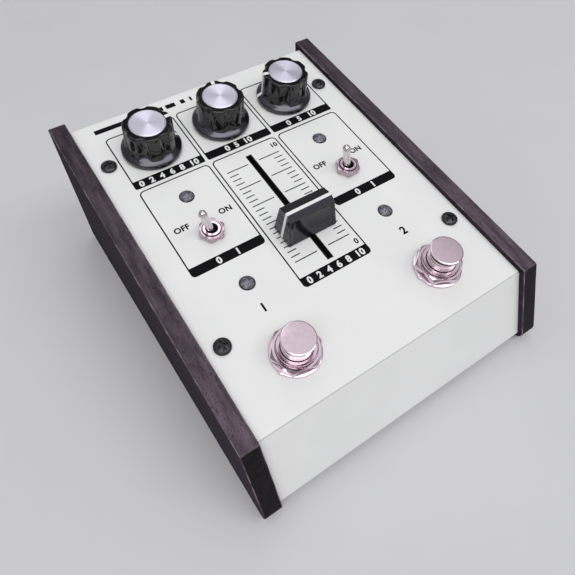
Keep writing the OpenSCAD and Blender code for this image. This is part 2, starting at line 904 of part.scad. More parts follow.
module pot_washers() {
    color([0.7, 0.7, 0.72])
        for (u = knob_us)
            on_panel(u, knob_v)
                ring(pot_washer_r, pot_washer_t, pot_bush_r + bush_gap);
}

module slide_pot() {
    color([0.5, 0.5, 0.52])
        on_panel(0, slider_v)
            difference() {
                translate([0, 0, -board_depth])
                    block(slide_body_w, slide_body_len, slide_body_h);
                translate([0, 0, channel_low])
                    block(channel_w, channel_len, channel_high - channel_low);
                translate([0, 0, channel_low])
                    block(slot_w, slot_len, slide_body_h);
            }
}

module slide_lever() {
    low = channel_low + slide_gap;
    high = channel_high - slide_gap;
    color([0.75, 0.75, 0.76])
        on_panel(0, slide_v)
            union() {
                translate([0, 0, low])
                    block(channel_w - 2 * slide_gap, carriage_len, high - low);
                translate([0, 0, low])
                    block(blade_t, blade_len, blade_top - low);
            }
}

// Long outline of the slider cap, inset at its ends and ridge
module cap_front(inset) {
    polygon([
        [-cap_w / 2 + inset, cap_gap],
        [cap_w / 2 - inset, cap_gap],
        [cap_top_w / 2 - inset, cap_top - inset],
        [-cap_top_w / 2 + inset, cap_top - inset]
    ]);
}

// Extrudes an upright outline along the slider's travel
module along_slide(l) {
    translate([0, l / 2, 0])
        rotate([90, 0, 0])
            linear_extrude(l)
                children();
}

module slider_cap() {
    half = cap_len / 2;
    line_half = cap_line_w / 2;
    band_low = cap_top - cap_band_drop;
    face_y = -(half + line_half + cap_band) / 2;
    color([0.05, 0.05, 0.06])
        on_panel(0, slide_v)
            difference() {
                intersection() {
                    along_slide(cap_len + 2 * over)
                        cap_front(0);
                    translate([-cap_w / 2, 0, 0])
                        rotate([90, 0, 90])
                            linear_extrude(cap_w)
                                polygon([
                                    [-half, cap_gap],
                                    [half, cap_gap],
                                    [half - cap_back_in, cap_top - cap_back_drop],
                                    [line_half, cap_top],
                                    [-line_half, cap_top],
                                    [-line_half - cap_band, band_low]
                                ]);
                }
                along_slide(cap_line_w)
                    difference() {
                        polygon([
                            [-cap_w, cap_gap - over],
                            [cap_w, cap_gap - over],
                            [cap_w, cap_top + over],
                            [-cap_w, cap_top + over]
                        ]);
                        cap_front(cap_line_t);
                    }
                translate([0, face_y + cap_hollow - cap_hollow_r, (cap_gap + band_low) / 2])
                    rotate([0, 90, 0])
                        cylinder(r = cap_hollow_r, h = cap_top_w - 2 * cap_border, center = true);
                translate([0, 0, cap_gap - over])
                    block(
                        blade_t + 2 * seat_gap,
                        blade_len + 2 * seat_gap,
                        blade_top - cap_gap + over + seat_gap
                    );
            }
}

module slider_line() {
    color([0.95, 0.95, 0.95])
        on_panel(0, slide_v)
            along_slide(cap_line_w)
                difference() {
                    cap_front(0);
                    cap_front(cap_line_t);
                }
}

module toggle(u) {
    color([0.3, 0.3, 0.32])
        on_panel(u, toggle_v)
            difference() {
                union() {
                    translate([0, 0, -board_depth])
                        block(toggle_w, toggle_len, board_depth - sheet_t);
                    translate([0, 0, -sheet_t - over])
                        cylinder(r = toggle_bush_r, h = toggle_bush_top + sheet_t + over);
                }
                translate([0, 0, -toggle_depth])
                    cylinder(r = toggle_mouth_r, h = toggle_depth + toggle_bush_top + over);
            }
}

module left_toggle() {
    toggle(sides[0]);
}

module right_toggle() {
    toggle(sides[1]);
}

module lever(u) {
    tail = toggle_depth + toggle_pivot - 4 * slide_gap;
    color([0.85, 0.85, 0.87])
        on_panel(u, toggle_v, toggle_pivot)
            rotate([0, -toggle_tilt, 0])
                union() {
                    sphere(r = lever_ball_r);
                    cylinder(r1 = lever_r, r2 = lever_tip_r - seat_gap, h = lever_len);
                    translate([0, 0, lever_len])
                        sphere(r = lever_tip_r);
                    translate([0, 0, -tail])
                        cylinder(r = lever_tail_r, h = tail);
                }
}

module left_lever() {
    lever(sides[0]);
}

module right_lever() {
    lever(sides[1]);
}

module toggle_nuts() {
    color([0.8, 0.8, 0.82])
        for (u = sides)
            on_panel(u, toggle_v, toggle_washer_t)
                hex_nut(toggle_nut_af, toggle_nut_t, toggle_bush_r + seat_gap);
}

module toggle_washers() {
    color([0.78, 0.78, 0.8])
        for (u = sides)
            on_panel(u, toggle_v)
                ring(toggle_washer_r, toggle_washer_t, toggle_bush_r + bush_gap);
}

module footswitch(u) {
    color([0.4, 0.4, 0.42])
        on_panel(u, footswitch_v)
            difference() {
                union() {
                    translate([0, 0, switch_top - switch_h])
                        block(switch_w, switch_w, switch_h);
                    translate([0, 0, switch_top - over])
                        cylinder(r = foot_bush_r, h = foot_bush_top - switch_top + over);
                    for (x = [-lug_pitch, 0, lug_pitch])
                        for (y = [-lug_row, lug_row])
                            translate([x, y, switch_top - switch_h - lug_h])
                                block(lug_w, lug_t, lug_h + over);
                }
                translate([0, 0, chamber_low])
                    cylinder(r = chamber_r, h = chamber_top - chamber_low);
                translate([0, 0, chamber_top - over])
                    cylinder(r = stem_bore_r, h = foot_bush_top - chamber_top + 2 * over);
            }
}

module left_footswitch() {
    footswitch(sides[0]);
}

module right_footswitch() {
    footswitch(sides[1]);
}

module button(u) {
    color([0.85, 0.85, 0.87])
        on_panel(u, footswitch_v)
            rotate_extrude()
                polygon([
                    [0, collar_low],
                    [collar_r, collar_low],
                    [collar_r, collar_top],
                    [stem_r, collar_top],
                    [stem_r, button_top - button_t],
                    [button_r, button_top - button_t],
                    [button_r, button_top - button_chamfer],
                    [button_r - button_chamfer, button_top],
                    [0, button_top]
                ]);
}

module left_button() {
    button(sides[0]);
}

module right_button() {
    button(sides[1]);
}

// Coil of round wire standing between the switch's floor and the collar
module spring(u) {
    ring_n = 6;
    seg_n = 14;
    steps = round(coil_turns * seg_n);
    low = chamber_low + wire_r + seat_gap;
    rise = collar_low - wire_r - seat_gap - low;
    pts = [
        for (i = [0 : steps])
            for (j = [0 : ring_n - 1])
                let (
                    a = 360 * i / seg_n,
                    b = 360 * j / ring_n,
                    r = coil_r + wire_r * cos(b)
                )
                [r * cos(a), r * sin(a), low + rise * i / steps + wire_r * sin(b)]
    ];
    skin = [
        for (i = [0 : steps - 1])
            for (j = [0 : ring_n - 1])
                let (k = (j + 1) % ring_n, p = i * ring_n, q = p + ring_n)
                each [[p + j, p + k, q + k], [p + j, q + k, q + j]]
    ];
    first = [[for (j = [0 : ring_n - 1]) ring_n - 1 - j]];
    last = [[for (j = [0 : ring_n - 1]) steps * ring_n + j]];
    color([0.75, 0.75, 0.77])
        on_panel(u, footswitch_v)
            polyhedron(points = pts, faces = concat(first, skin, last));
}

module left_spring() {
    spring(sides[0]);
}

module right_spring() {
    spring(sides[1]);
}

module footswitch_nuts() {
    color([0.8, 0.8, 0.82])
        for (u = sides)
            on_panel(u, footswitch_v, foot_washer_t)
                hex_nut(foot_nut_af, foot_nut_t, foot_bush_r + seat_gap);
}

module footswitch_locknuts() {
    color([0.8, 0.8, 0.82])
        for (u = sides)
            on_panel(u, footswitch_v, switch_top)
                hex_nut(foot_nut_af, foot_nut_t, foot_bush_r + seat_gap);
}

module footswitch_washers() {
    color([0.8, 0.8, 0.82])
        for (u = sides)
            on_panel(u, footswitch_v)
                ring(foot_washer_r, foot_washer_t, foot_bush_r + bush_gap);
}

module lamp(u, v) {
    color([0.75, 0.73, 0.78])
        on_panel(u, v)
            union() {
                translate([0, 0, lamp_low])
                    cylinder(r = lamp_r, h = lamp_len - lamp_r);
                translate([0, 0, lamp_top - lamp_r])
                    sphere(r = lamp_r);
                translate([0, 0, lamp_low])
                    cylinder(r = rim_r, h = lamp_rim_h);
                for (x = [-lead_pitch / 2, lead_pitch / 2])
                    translate([x, 0, -board_depth])
                        cylinder(r = lead_r, h = board_depth + lamp_low + over);
            }
}

module upper_left_lamp() {
    lamp(sides[0], upper_lamp_v);
}

module upper_right_lamp() {
    lamp(sides[1], upper_lamp_v);
}

module lower_left_lamp() {
    lamp(sides[0], lower_lamp_v);
}

module lower_right_lamp() {
    lamp(sides[1], lower_lamp_v);
}

module lamp_spacers() {
    color([0.1, 0.1, 0.1])
        for (u = sides)
            for (v = [lower_lamp_v, upper_lamp_v])
                on_panel(u, v, -board_depth)
                    ring(rim_r, board_depth + lamp_low, lead_pitch / 2 + lead_r + slide_gap);
}

module circuit_board() {
    color([0.1, 0.35, 0.2])
        on_panel(0, board_v + board_len / 2, board_low)
            block(board_w, board_len, board_t);
}

module board_chips() {
    color([0.07, 0.07, 0.08])
        for (u = [-chip_u, chip_u])
            for (v = [chip_v - chip_pitch / 2, chip_v + chip_pitch / 2])
                on_panel(u, v, board_low - chip_h)
                    block(chip_w, chip_len, chip_h);
}

module board_capacitors() {
    color([0.15, 0.2, 0.4])
        for (u = [-can_u, can_u])
            for (v = [can_v - can_pitch, can_v, can_v + can_pitch])
                on_panel(u, v, board_low - can_h)
                    cylinder(r = can_r, h = can_h);
}

// Flat strip along a path in the side view
module strip(path) {
    for (i = [0 : len(path) - 1])
        translate(path[i])
            circle(d = cable_t);
    for (i = [0 : len(path) - 2]) {
        d = path[i + 1] - path[i];
        translate(path[i])
            rotate(atan2(d[1], d[0]))
                translate([0, -cable_t / 2])
                    square([norm(d), cable_t]);
    }
}

module flat_cables() {
    half = cable_t / 2;
    lugs = switch_top - switch_h - lug_h - half;
    under = board_low - half;
    foot_path = [
        on_side(footswitch_v - lug_row, lugs),
        on_side(footswitch_v + switch_w / 2, lugs),
        on_side(board_v + cable_seat, under),
        on_side(board_v + 2 * cable_seat, under)
    ];
    jack_path = [
        [jack_in - half, jack_z - cable_seat / 2],
        [jack_in - half, jack_z + cable_seat],
        on_side(knob_v - jack_run, under),
        on_side(knob_v - jack_run - cable_seat, under)
    ];
    dc_path = [
        [back[0] - dc_len - half, jack_z - cable_seat / 2],
        [back[0] - dc_len - half, jack_z + cable_seat],
        on_side(knob_v - dc_run, under),
        on_side(knob_v - dc_run - cable_seat, under)
    ];
    color([0.5, 0.5, 0.55]) {
        for (x = sides)
            side_slab(x - cable_w / 2, cable_w)
                strip(foot_path);
        for (x = [-jack_x, jack_x])
            side_slab(x - cable_w / 2, cable_w)
                strip(jack_path);
        side_slab(-cable_w / 2, cable_w)
            strip(dc_path);
    }
}

module jack(x) {
    color([0.08, 0.08, 0.09])
        on_rear(x, jack_z)
            difference() {
                union() {
                    translate([0, 0, -sheet_t - jack_len])
                        block(jack_w, jack_w, jack_len);
                    translate([0, 0, -sheet_t - over])
                        cylinder(r = jack_bush_r, h = sheet_t + over + jack_out);
                }
                translate([0, 0, jack_out - jack_bore_len])
                    cylinder(r = jack_bore_r, h = jack_bore_len + over);
            }
}

module input_jack() {
    jack(jack_x);
}

module output_jack() {
    jack(-jack_x);
}

module jack_nuts() {
    color([0.8, 0.8, 0.82])
        for (x = [-jack_x, jack_x])
            on_rear(x, jack_z)
                translate([0, 0, jack_washer_t])
                    hex_nut(jack_nut_af, jack_nut_t, jack_bush_r + seat_gap);
}

module jack_washers() {
    color([0.78, 0.78, 0.8])
        for (x = [-jack_x, jack_x])
            on_rear(x, jack_z)
                ring(jack_washer_r, jack_washer_t, jack_bush_r + bush_gap);
}

module dc_socket() {
    color([0.06, 0.06, 0.06])
        on_rear(0, jack_z)
            difference() {
                union() {
                    translate([0, 0, -dc_len])
                        cylinder(r = dc_r, h = dc_len + dc_flange_t / 2);
                    cylinder(r = dc_flange_r, h = dc_flange_t);
                }
                translate([0, 0, dc_floor])
                    cylinder(r = dc_mouth_r, h = dc_mouth_len + over);
                translate([0, 0, dc_floor - dc_pin_seat])
                    cylinder(r = dc_pin_r, h = dc_pin_seat + over);
            }
}

module dc_pin() {
    color([0.8, 0.75, 0.5])
        on_rear(0, jack_z)
            translate([0, 0, dc_floor - dc_pin_seat])
                cylinder(r = dc_pin_r, h = dc_mouth_len + dc_pin_seat - dc_pin_sink);
}

top_cover();
base_tray();
left_cheek();
right_cheek();
cheek_screws();
panel_screws();
rubber_feet();
foot_screws();
left_pot();
middle_pot();
right_pot();
left_shaft();
middle_shaft();
right_shaft();
left_knob();
middle_knob();
right_knob();
left_disc();
middle_disc();
right_disc();
left_pointer();
middle_pointer();
right_pointer();
pot_nuts();
pot_washers();
slide_pot();
slide_lever();
slider_cap();
slider_line();
left_toggle();
right_toggle();
left_lever();
right_lever();
toggle_nuts();
toggle_washers();
left_footswitch();
right_footswitch();
left_button();
right_button();
left_spring();
right_spring();
footswitch_nuts();
footswitch_locknuts();
footswitch_washers();
upper_left_lamp();
upper_right_lamp();
lower_left_lamp();
lower_right_lamp();
lamp_spacers();
circuit_board();
board_chips();
board_capacitors();
flat_cables();
input_jack();
output_jack();
jack_nuts();
jack_washers();
dc_socket();
dc_pin();
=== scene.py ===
"""Looks of the delay pedal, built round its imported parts.

Lengths are in millimetres until a mesh is built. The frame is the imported
model's own: +X right, +Y to the back, +Z up, the table at zero.
"""

from __future__ import annotations

import json
import logging
import math
from collections.abc import Callable, Sequence
from dataclasses import dataclass, field
from enum import Enum, IntEnum
from functools import partial
from typing import Any

import bmesh
import bpy
from mathutils import Matrix, Vector


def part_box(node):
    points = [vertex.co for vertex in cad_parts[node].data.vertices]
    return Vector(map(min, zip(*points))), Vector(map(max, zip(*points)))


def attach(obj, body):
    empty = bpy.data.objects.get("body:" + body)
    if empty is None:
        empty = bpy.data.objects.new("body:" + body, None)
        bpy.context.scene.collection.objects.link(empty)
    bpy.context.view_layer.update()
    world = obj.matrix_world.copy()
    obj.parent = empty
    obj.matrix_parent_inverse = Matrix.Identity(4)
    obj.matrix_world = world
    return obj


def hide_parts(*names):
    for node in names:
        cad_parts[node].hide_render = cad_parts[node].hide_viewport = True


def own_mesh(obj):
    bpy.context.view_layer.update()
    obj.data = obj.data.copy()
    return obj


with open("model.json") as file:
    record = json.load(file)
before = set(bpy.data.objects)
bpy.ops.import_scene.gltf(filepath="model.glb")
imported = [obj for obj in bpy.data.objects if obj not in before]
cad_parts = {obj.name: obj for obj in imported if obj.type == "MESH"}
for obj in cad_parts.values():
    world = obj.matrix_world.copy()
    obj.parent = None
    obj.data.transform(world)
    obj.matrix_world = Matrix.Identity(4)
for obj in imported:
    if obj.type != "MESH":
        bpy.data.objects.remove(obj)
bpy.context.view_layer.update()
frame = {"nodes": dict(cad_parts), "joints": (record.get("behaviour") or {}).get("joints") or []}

LOG = logging.getLogger("delay_pedal")
MM = 0.001

Socket = bpy.types.NodeSocket
Piece = bpy.types.Object
Colour = tuple[float, float, float]
Point2 = tuple[float, float]
Point3 = tuple[float, float, float]
Heights = tuple[float, float, float]
PathStep = tuple[float, float, float, float]
Row = Callable[[float], Point2]
Zone = Callable[[Vector, Vector], int]

NOISE_SPAN: Point2 = (0.3, 0.7)  # usual range of a noise
SIDE_U = 27.6  # switches and lamps from the middle
SIXTH = math.radians(60)
CORNER_SHARE = 0.45  # longest rounding as a share of an edge
LETTER_GAP = 1.06
FONT_PER_CAP = 1.38  # font size for a capital of height 1
SAME_POINT = 1e-7  # metres
WELD = 2e-6  # metres
FLAT_TURN = math.radians(0.5)
SHARP_TURN = math.radians(28)
SOFT_CREASE = 45.0  # degrees
STEEP = 0.5  # a wall's normal along the axis stays under this
# Name, distance to the right of the middle and turn at rest, in degrees.
KNOBS: tuple[tuple[str, float, float], ...] = (
    ("left", -28.0, 0.0),
    ("middle", 0.0, 81.0),
    ("right", 28.0, 161.0),
)
# Name and distance from the front fold.
LAMP_ROWS: tuple[tuple[str, float], ...] = (("upper", 81.2), ("lower", 42.1))


class Side(Enum):
    """The two sides that carry a switch, lamps and a cheek each."""

    LEFT = -1
    RIGHT = 1

    @property
    def word(self) -> str:
        """Name of the side as the nodes have it."""
        return self.name.lower()


class SwitchZone(IntEnum):
    """Zones of a switch or a socket, by the number of their finish."""

    BODY = 0
    BUSHING = 1
    BORE = 2


class ButtonZone(IntEnum):
    """Zones of a footswitch's button, by the number of their finish."""

    CAP = 0
    STEM = 1
    SHADE = 2


class CapZone(IntEnum):
    """Zones of the slider's cap, by the number of their finish."""

    SIDES = 0
    BROW = 1


class NodeSheet:
    """A material's node tree with short ways to add its nodes."""

    def __init__(self, name: str) -> None:
        """Starts a material with its main shader.

        Args:
            name: Name of the material.
        """
        self.material = bpy.data.materials.new(name)
        self.material.use_nodes = True
        self.tree = self.material.node_tree
        self.shader = self.tree.nodes["Principled BSDF"]

    def put(self, socket: Socket, value: Any) -> None:
        """Links an output to a socket, or sets the socket's own value.

        Args:
            socket: Input socket.
            value: Output socket, number, colour or vector.
        """
        if isinstance(value, Socket):
            self.tree.links.new(value, socket)
        elif socket.type == "RGBA" and len(value) == 3:
            socket.default_value = (*value, 1.0)
        else:
            socket.default_value = value

    def add(self, kind: str, inputs: dict[Any, Any], **settings: Any) -> bpy.types.Node:
        """Adds a node and fills its inputs.

        Args:
            kind: Node type without its common prefix.
            inputs: Values or outputs by input name or number.
            **settings: Properties of the node.

        Returns:
            The new node.
        """
        node = self.tree.nodes.new("ShaderNode" + kind)
        for key, value in settings.items():
            setattr(node, key, value)
        for key, value in inputs.items():
            self.put(node.inputs[key], value)
        return node

    def shade(self, inputs: dict[str, Any]) -> None:
        """Fills inputs of the main shader.

        Args:
            inputs: Values or outputs by input name.
        """
        for key, value in inputs.items():
            self.put(self.shader.inputs[key], value)

    def millimetres(self, stretch: Point3 = (1.0, 1.0, 1.0)) -> Socket:
        """Gives the piece's own coordinates in millimetres.

        Args:
            stretch: Scale along each axis.

        Returns:
            Vector output.
        """
        own = self.add("TexCoord", {}).outputs["Object"]
        scale = tuple(s / MM for s in stretch)
        return self.add("Mapping", {"Vector": own, "Scale": scale}).outputs["Vector"]

    def noise(self, where: Socket, scale: float, detail: float = 2.0) -> Socket:
        """Adds a noise.

        Args:
            where: Coordinates.
            scale: Features in each unit of the coordinates.
            detail: Number of finer layers.

        Returns:
            Noise value, from 0 to 1.
        """
        inputs = {"Vector": where, "Scale": scale, "Detail": detail}
        return self.add("TexNoise", inputs).outputs["Fac"]

    def spread(self, amount: Socket, source: Point2, result: Point2 = (0.0, 1.0)) -> Socket:
        """Maps a range of values to another and holds its ends.

        Args:
            amount: Value to map.
            source: Range that comes in.
            result: Range that goes out.

        Returns:
            Mapped value.
        """
        inputs = {0: amount, 1: source[0], 2: source[1], 3: result[0], 4: result[1]}
        return self.add("MapRange", inputs, clamp=True).outputs["Result"]

    def blend(self, amount: Any, first: Any, second: Any, mode: str = "MIX") -> Socket:
        """Mixes two colours.

        Args:
            amount: Share of the second colour.
            first: First colour or output.
            second: Second colour or output.
            mode: Way of mixing.

        Returns:
            Mixed colour.
        """
        node = self.add("Mix", {0: amount, 6: first, 7: second}, data_type="RGBA", blend_type=mode)
        return node.outputs[2]

    def maths(self, way: str, first: Any, second: Any = 0.0) -> Socket:
        """Does a sum.

        Args:
            way: Operation's name.
            first: First value or output.
            second: Second value or output.

        Returns:
            Result of the sum.
        """
        return self.add("Math", {0: first, 1: second}, operation=way).outputs["Value"]

    def vector(self, way: str, first: Any, second: Any, output: str) -> Socket:
        """Does a vector sum.

        Args:
            way: Operation's name.
            first: First vector or output.
            second: Second vector or output.
            output: Name of the wanted output.

        Returns:
            Result of the sum.
        """
        return self.add("VectorMath", {0: first, 1: second}, operation=way).outputs[output]

    def bump(self, height: Socket, depth: float) -> None:
        """Raises the surface by a height.

        Args:
            height: Height value, from 0 to 1.
            depth: Height of 1, in millimetres.
        """
        node = self.add("Bump", {"Height": height, "Distance": depth * MM, "Strength": 1.0})
        self.shade({"Normal": node.outputs["Normal"]})

    def edges(self, radius: float, likeness: Point2 = (0.995, 0.9), samples: int = 4) -> Socket:
        """Finds the piece's outer edges and inner corners.

        Args:
            radius: Reach of an edge, in millimetres.
            likeness: Likeness of the rounded and the plain normal, off an edge and on it.
            samples: Samples of the rounding.

        Returns:
            Nearness to an edge, from 0 to 1.
        """
        soft = self.add("Bevel", {"Radius": radius * MM}, samples=samples).outputs["Normal"]
        plain = self.add("NewGeometry", {}).outputs["Normal"]
        return self.spread(self.vector("DOT_PRODUCT", soft, plain, "Value"), likeness)


@dataclass(frozen=True)
class Finish:
    """One procedural finish, made into a material once."""

    name: str

    def material(self) -> bpy.types.Material:
        """Gives the finish's material.

        Returns:
            The material, made at the first call.
        """
        title = f"{self.name}_finish"
        found = bpy.data.materials.get(title)
        if found is None:
            sheet = NodeSheet(title)
            self.paint(sheet)
            found = sheet.material
        return found

    def paint(self, sheet: NodeSheet) -> None:
        """Adds the finish's nodes to a sheet."""
        raise NotImplementedError


@dataclass(frozen=True)
class PanelPaint(Finish):
    """Warm white satin paint on the folded cover, with a painted shade line along the front fold."""

    low: Colour = (0.79, 0.792, 0.785)
    high: Colour = (0.825, 0.826, 0.82)
    cloud_scale: float = 0.05
    # The crease colour, its reach and its share paint a thin shade line along the front fold.
    crease: Colour = (0.46, 0.46, 0.46)
    fold_shade_reach: Point2 = (0.42, 0.30)
    fold_shade_share: float = 0.7
    fold: Point3 = (0.0, -60.269, 28.7)
    peel_scale: float = 2.2
    peel_depth: float = 0.006
    rough: Point2 = (0.36, 0.46)
    gloss: float = 0.4

    def paint(self, sheet: NodeSheet) -> None:
        """Adds cloudy tone, fine orange peel and a painted shade line at the fold.

        Args:
            sheet: Sheet that takes the nodes.
        """
        where = sheet.millimetres()
        cloud = sheet.noise(where, self.cloud_scale, 3.0)
        tone = sheet.blend(sheet.spread(cloud, NOISE_SPAN), self.low, self.high)
        flat = sheet.vector("MULTIPLY", where, (0.0, 1.0, 1.0), "Vector")
        reach = sheet.vector("DISTANCE", flat, self.fold, "Value")
        # Painted shade: a thin grey line along the fold.
        line = sheet.spread(reach, self.fold_shade_reach, (0.0, self.fold_shade_share))
        peel = sheet.noise(where, self.peel_scale)
        sheet.shade(
            {
                "Base Color": sheet.blend(line, tone, self.crease),
                "Roughness": sheet.spread(peel, NOISE_SPAN, self.rough),
                "Specular IOR Level": self.gloss,
            }
        )
        sheet.bump(peel, self.peel_depth)


@dataclass(frozen=True)
class DarkWood(Finish):
    """Dark open-pored wood with its grain along the cheeks."""

    pale: Colour = (0.098, 0.072, 0.094)
    deep: Colour = (0.034, 0.024, 0.032)
    pore: Colour = (0.008, 0.006, 0.008)
    worn: Colour = (0.30, 0.25, 0.28)
    end: Colour = (0.085, 0.07, 0.085)
    # Painted shade: the sideways faces are darkened by this colour.
    flank_shade: Colour = (0.42, 0.40, 0.46)
    # Painted sheen: the colour is brightened towards the front.
    front_sheen: Point2 = (0.8, 1.45)
    front_sheen_from: Point2 = (55.0, -60.0)
    grain: Point3 = (1.0, 0.03, 1.0)
    pit_grain: Point3 = (1.0, 0.06, 1.0)
    band_scale: float = 0.45
    band_share: float = 0.6
    tone_span: Point2 = (0.38, 0.62)
    fibre_scale: float = 5.5
    pit_scale: float = 3.6
    pit_span: Point2 = (0.60, 0.72)
    pit_share: float = 0.6
    facing: Point2 = (0.6, 0.85)
    edge_reach: float = 0.5
    turn_span: Point2 = (0.05, 0.18)
    fibre_span: Point2 = (0.3, 0.5)
    fibre_wear: Point2 = (0.3, 1.0)
    scuff_scale: float = 0.16
    scuff_span: Point2 = (0.46, 0.62)
    scuff_wear: Point2 = (0.25, 1.0)
    wear: float = 0.85
    rough: Point2 = (0.38, 0.56)
    sawn: float = 0.42
    gloss: float = 0.1
    fibre_rise: float = 0.3
    depth: float = 0.05

    def paint(self, sheet: NodeSheet) -> None:
        """Adds growth bands, fibres, pores, painted shade on the flanks, dark end grain and worn edges.

        Args:
            sheet: Sheet that takes the nodes.
        """
        grain = sheet.millimetres(self.grain)
        fibre = sheet.noise(grain, self.fibre_scale, 3.0)
        pits = sheet.noise(sheet.millimetres(self.pit_grain), self.pit_scale, 1.0)
        pits = sheet.spread(pits, self.pit_span)
        tone = self.figure(sheet, sheet.noise(grain, self.band_scale, 3.0), fibre, pits)
        plain = sheet.add("NewGeometry", {}).outputs["Normal"]
        # End grain darkens by its own colour; the flanks get painted shade.
        for axis, stain in (((0.0, 1.0, 0.0), self.end), ((1.0, 0.0, 0.0), self.flank_shade)):
            along = sheet.maths("ABSOLUTE", sheet.vector("DOT_PRODUCT", plain, axis, "Value"))
            facing = sheet.spread(along, self.facing)
            tone = sheet.blend(facing, tone, sheet.blend(1.0, tone, stain, "MULTIPLY"))
        rub = sheet.maths("MULTIPLY", self.rub(sheet, fibre, along), self.wear)
        polish = sheet.spread(fibre, NOISE_SPAN, self.rough)
        sheet.shade(
            {
                "Base Color": sheet.blend(rub, tone, self.worn),
                "Roughness": sheet.maths("ADD", polish, sheet.maths("MULTIPLY", facing, self.sawn)),
                "Specular IOR Level": self.gloss,
            }
        )
        rise = sheet.maths("MULTIPLY", fibre, self.fibre_rise)
        sheet.bump(sheet.maths("SUBTRACT", rise, pits), self.depth)

    def figure(self, sheet: NodeSheet, bands: Socket, fibre: Socket, pits: Socket) -> Socket:
        """Mixes the wood's colour, paler towards the front with a painted sheen.

        Args:
            sheet: Sheet that takes the nodes.
            bands: Growth bands.
            fibre: Fibres.
            pits: Open pores.

        Returns:
            The colour.
        """
        wide = sheet.maths("MULTIPLY", bands, self.band_share)
        mixed = sheet.maths("ADD", wide, sheet.maths("MULTIPLY", fibre, 1 - self.band_share))
        tone = sheet.blend(sheet.spread(mixed, self.tone_span), self.deep, self.pale)
        tone = sheet.blend(sheet.maths("MULTIPLY", pits, self.pit_share), tone, self.pore)
        # Painted sheen, growing towards the front.
        back = sheet.vector("DOT_PRODUCT", sheet.millimetres(), (0.0, 1.0, 0.0), "Value")
        return sheet.vector("MULTIPLY", tone, sheet.spread(back, self.front_sheen_from, self.front_sheen), "Vector")

    def rub(self, sheet: NodeSheet, fibre: Socket, along: Socket) -> Socket:
        """Finds where the edges are rubbed pale, in patches.

        Args:
            sheet: Sheet that takes the nodes.
            fibre: Fibres.
            along: How much the surface faces sideways, from 0 to 1.

        Returns:
            Share of wear, from 0 to 1.
        """
        turn = sheet.maths("MULTIPLY", along, sheet.maths("SUBTRACT", 1.0, along))
        rim = sheet.maths("MAXIMUM", sheet.edges(self.edge_reach), sheet.spread(turn, self.turn_span))
        rub = sheet.maths("MULTIPLY", rim, sheet.spread(fibre, self.fibre_span, self.fibre_wear))
        scuff = sheet.noise(sheet.millimetres(), self.scuff_scale)
        return sheet.maths("MULTIPLY", rub, sheet.spread(scuff, self.scuff_span, self.scuff_wear))


@dataclass(frozen=True)
class Metal(Finish):
    """Plated or bare metal with fine scratches and dull patches."""

    tint: Colour = (0.8, 0.8, 0.8)
    rough: Point2 = (0.12, 0.24)
    scratch: float = 0.002
    shine: float = 1.0
    patch_scale: float = 0.5
    patch_span: Point2 = (0.35, 0.65)
    hair: Point3 = (0.6, 6.0, 6.0)
    hair_scale: float = 1.4
    dull: float = 0.94

    def paint(self, sheet: NodeSheet) -> None:
        """Adds patchy tone, patchy gloss and hair scratches.

        Args:
            sheet: Sheet that takes the nodes.
        """
        patch = sheet.noise(sheet.millimetres(), self.patch_scale, 5.0)
        hair = sheet.noise(sheet.millimetres(self.hair), self.hair_scale)
        dark = tuple(self.dull * c for c in self.tint)
        sheet.shade(
            {
                "Base Color": sheet.blend(sheet.spread(patch, self.patch_span), dark, self.tint),
                "Metallic": self.shine,
                "Roughness": sheet.spread(patch, NOISE_SPAN, self.rough),
            }
        )
        sheet.bump(hair, self.scratch)


@dataclass(frozen=True)
class Plastic(Finish):
    """Moulded plastic, rubber or ink with a fine skin."""

    tint: Colour = (0.02, 0.02, 0.02)
    lift: float = 1.35
    rough: Point2 = (0.3, 0.4)
    grain: float = 6.0
    depth: float = 0.004
    gloss: float = 0.5
    glint: Colour = (1.0, 1.0, 1.0)
    cloud_scale: float = 0.4

    def paint(self, sheet: NodeSheet) -> None:
        """Adds cloudy tone, uneven gloss and the mould's skin.

        Args:
            sheet: Sheet that takes the nodes.
        """
        where = sheet.millimetres()
        cloud = sheet.noise(where, self.cloud_scale, 3.0)
        skin = sheet.noise(where, self.grain)
        light = tuple(min(1.0, self.lift * c) for c in self.tint)
        sheet.shade(
            {
                "Base Color": sheet.blend(sheet.spread(cloud, NOISE_SPAN), self.tint, light),
                "Roughness": sheet.spread(skin, NOISE_SPAN, self.rough),
                "Specular IOR Level": self.gloss,
                "Specular Tint": self.glint,
            }
        )
        sheet.bump(skin, self.depth)


@dataclass(frozen=True)
class SpunAluminium(Finish):
    """Bright disc turned on a lathe, with fine rings round its middle."""

    # The lavender in both tints is a painted reflection of a lavender sky.
    tint: Colour = (0.82, 0.80, 0.92)
    shade_tint: Colour = (0.66, 0.64, 0.76)
    rough: Point2 = (0.36, 0.46)
    ring_scale: float = 7.0
    ring_depth: float = 0.004
    drawn: float = 0.9
    drawn_turn: float = 0.25

    def paint(self, sheet: NodeSheet) -> None:
        """Adds ring tone and gloss, and gloss drawn out along the rings.

        Args:
            sheet: Sheet that takes the nodes.
        """
        where = sheet.vector("MULTIPLY", sheet.millimetres(), (1.0, 1.0, 0.0), "Vector")
        radius = sheet.vector("LENGTH", where, (0.0, 0.0, 0.0), "Value")
        inputs = {"W": radius, "Scale": self.ring_scale, "Detail": 2.0}
        ring = sheet.add("TexNoise", inputs, noise_dimensions="1D").outputs["Fac"]
        turned = sheet.add("Tangent", {}, direction_type="RADIAL", axis="Z")
        sheet.shade(
            {
                "Base Color": sheet.blend(sheet.spread(ring, NOISE_SPAN), self.shade_tint, self.tint),
                "Metallic": 1.0,
                "Roughness": sheet.spread(ring, NOISE_SPAN, self.rough),
                "Anisotropic": self.drawn,
                "Anisotropic Rotation": self.drawn_turn,
                "Tangent": turned.outputs["Tangent"],
            }
        )
        sheet.bump(ring, self.ring_depth)


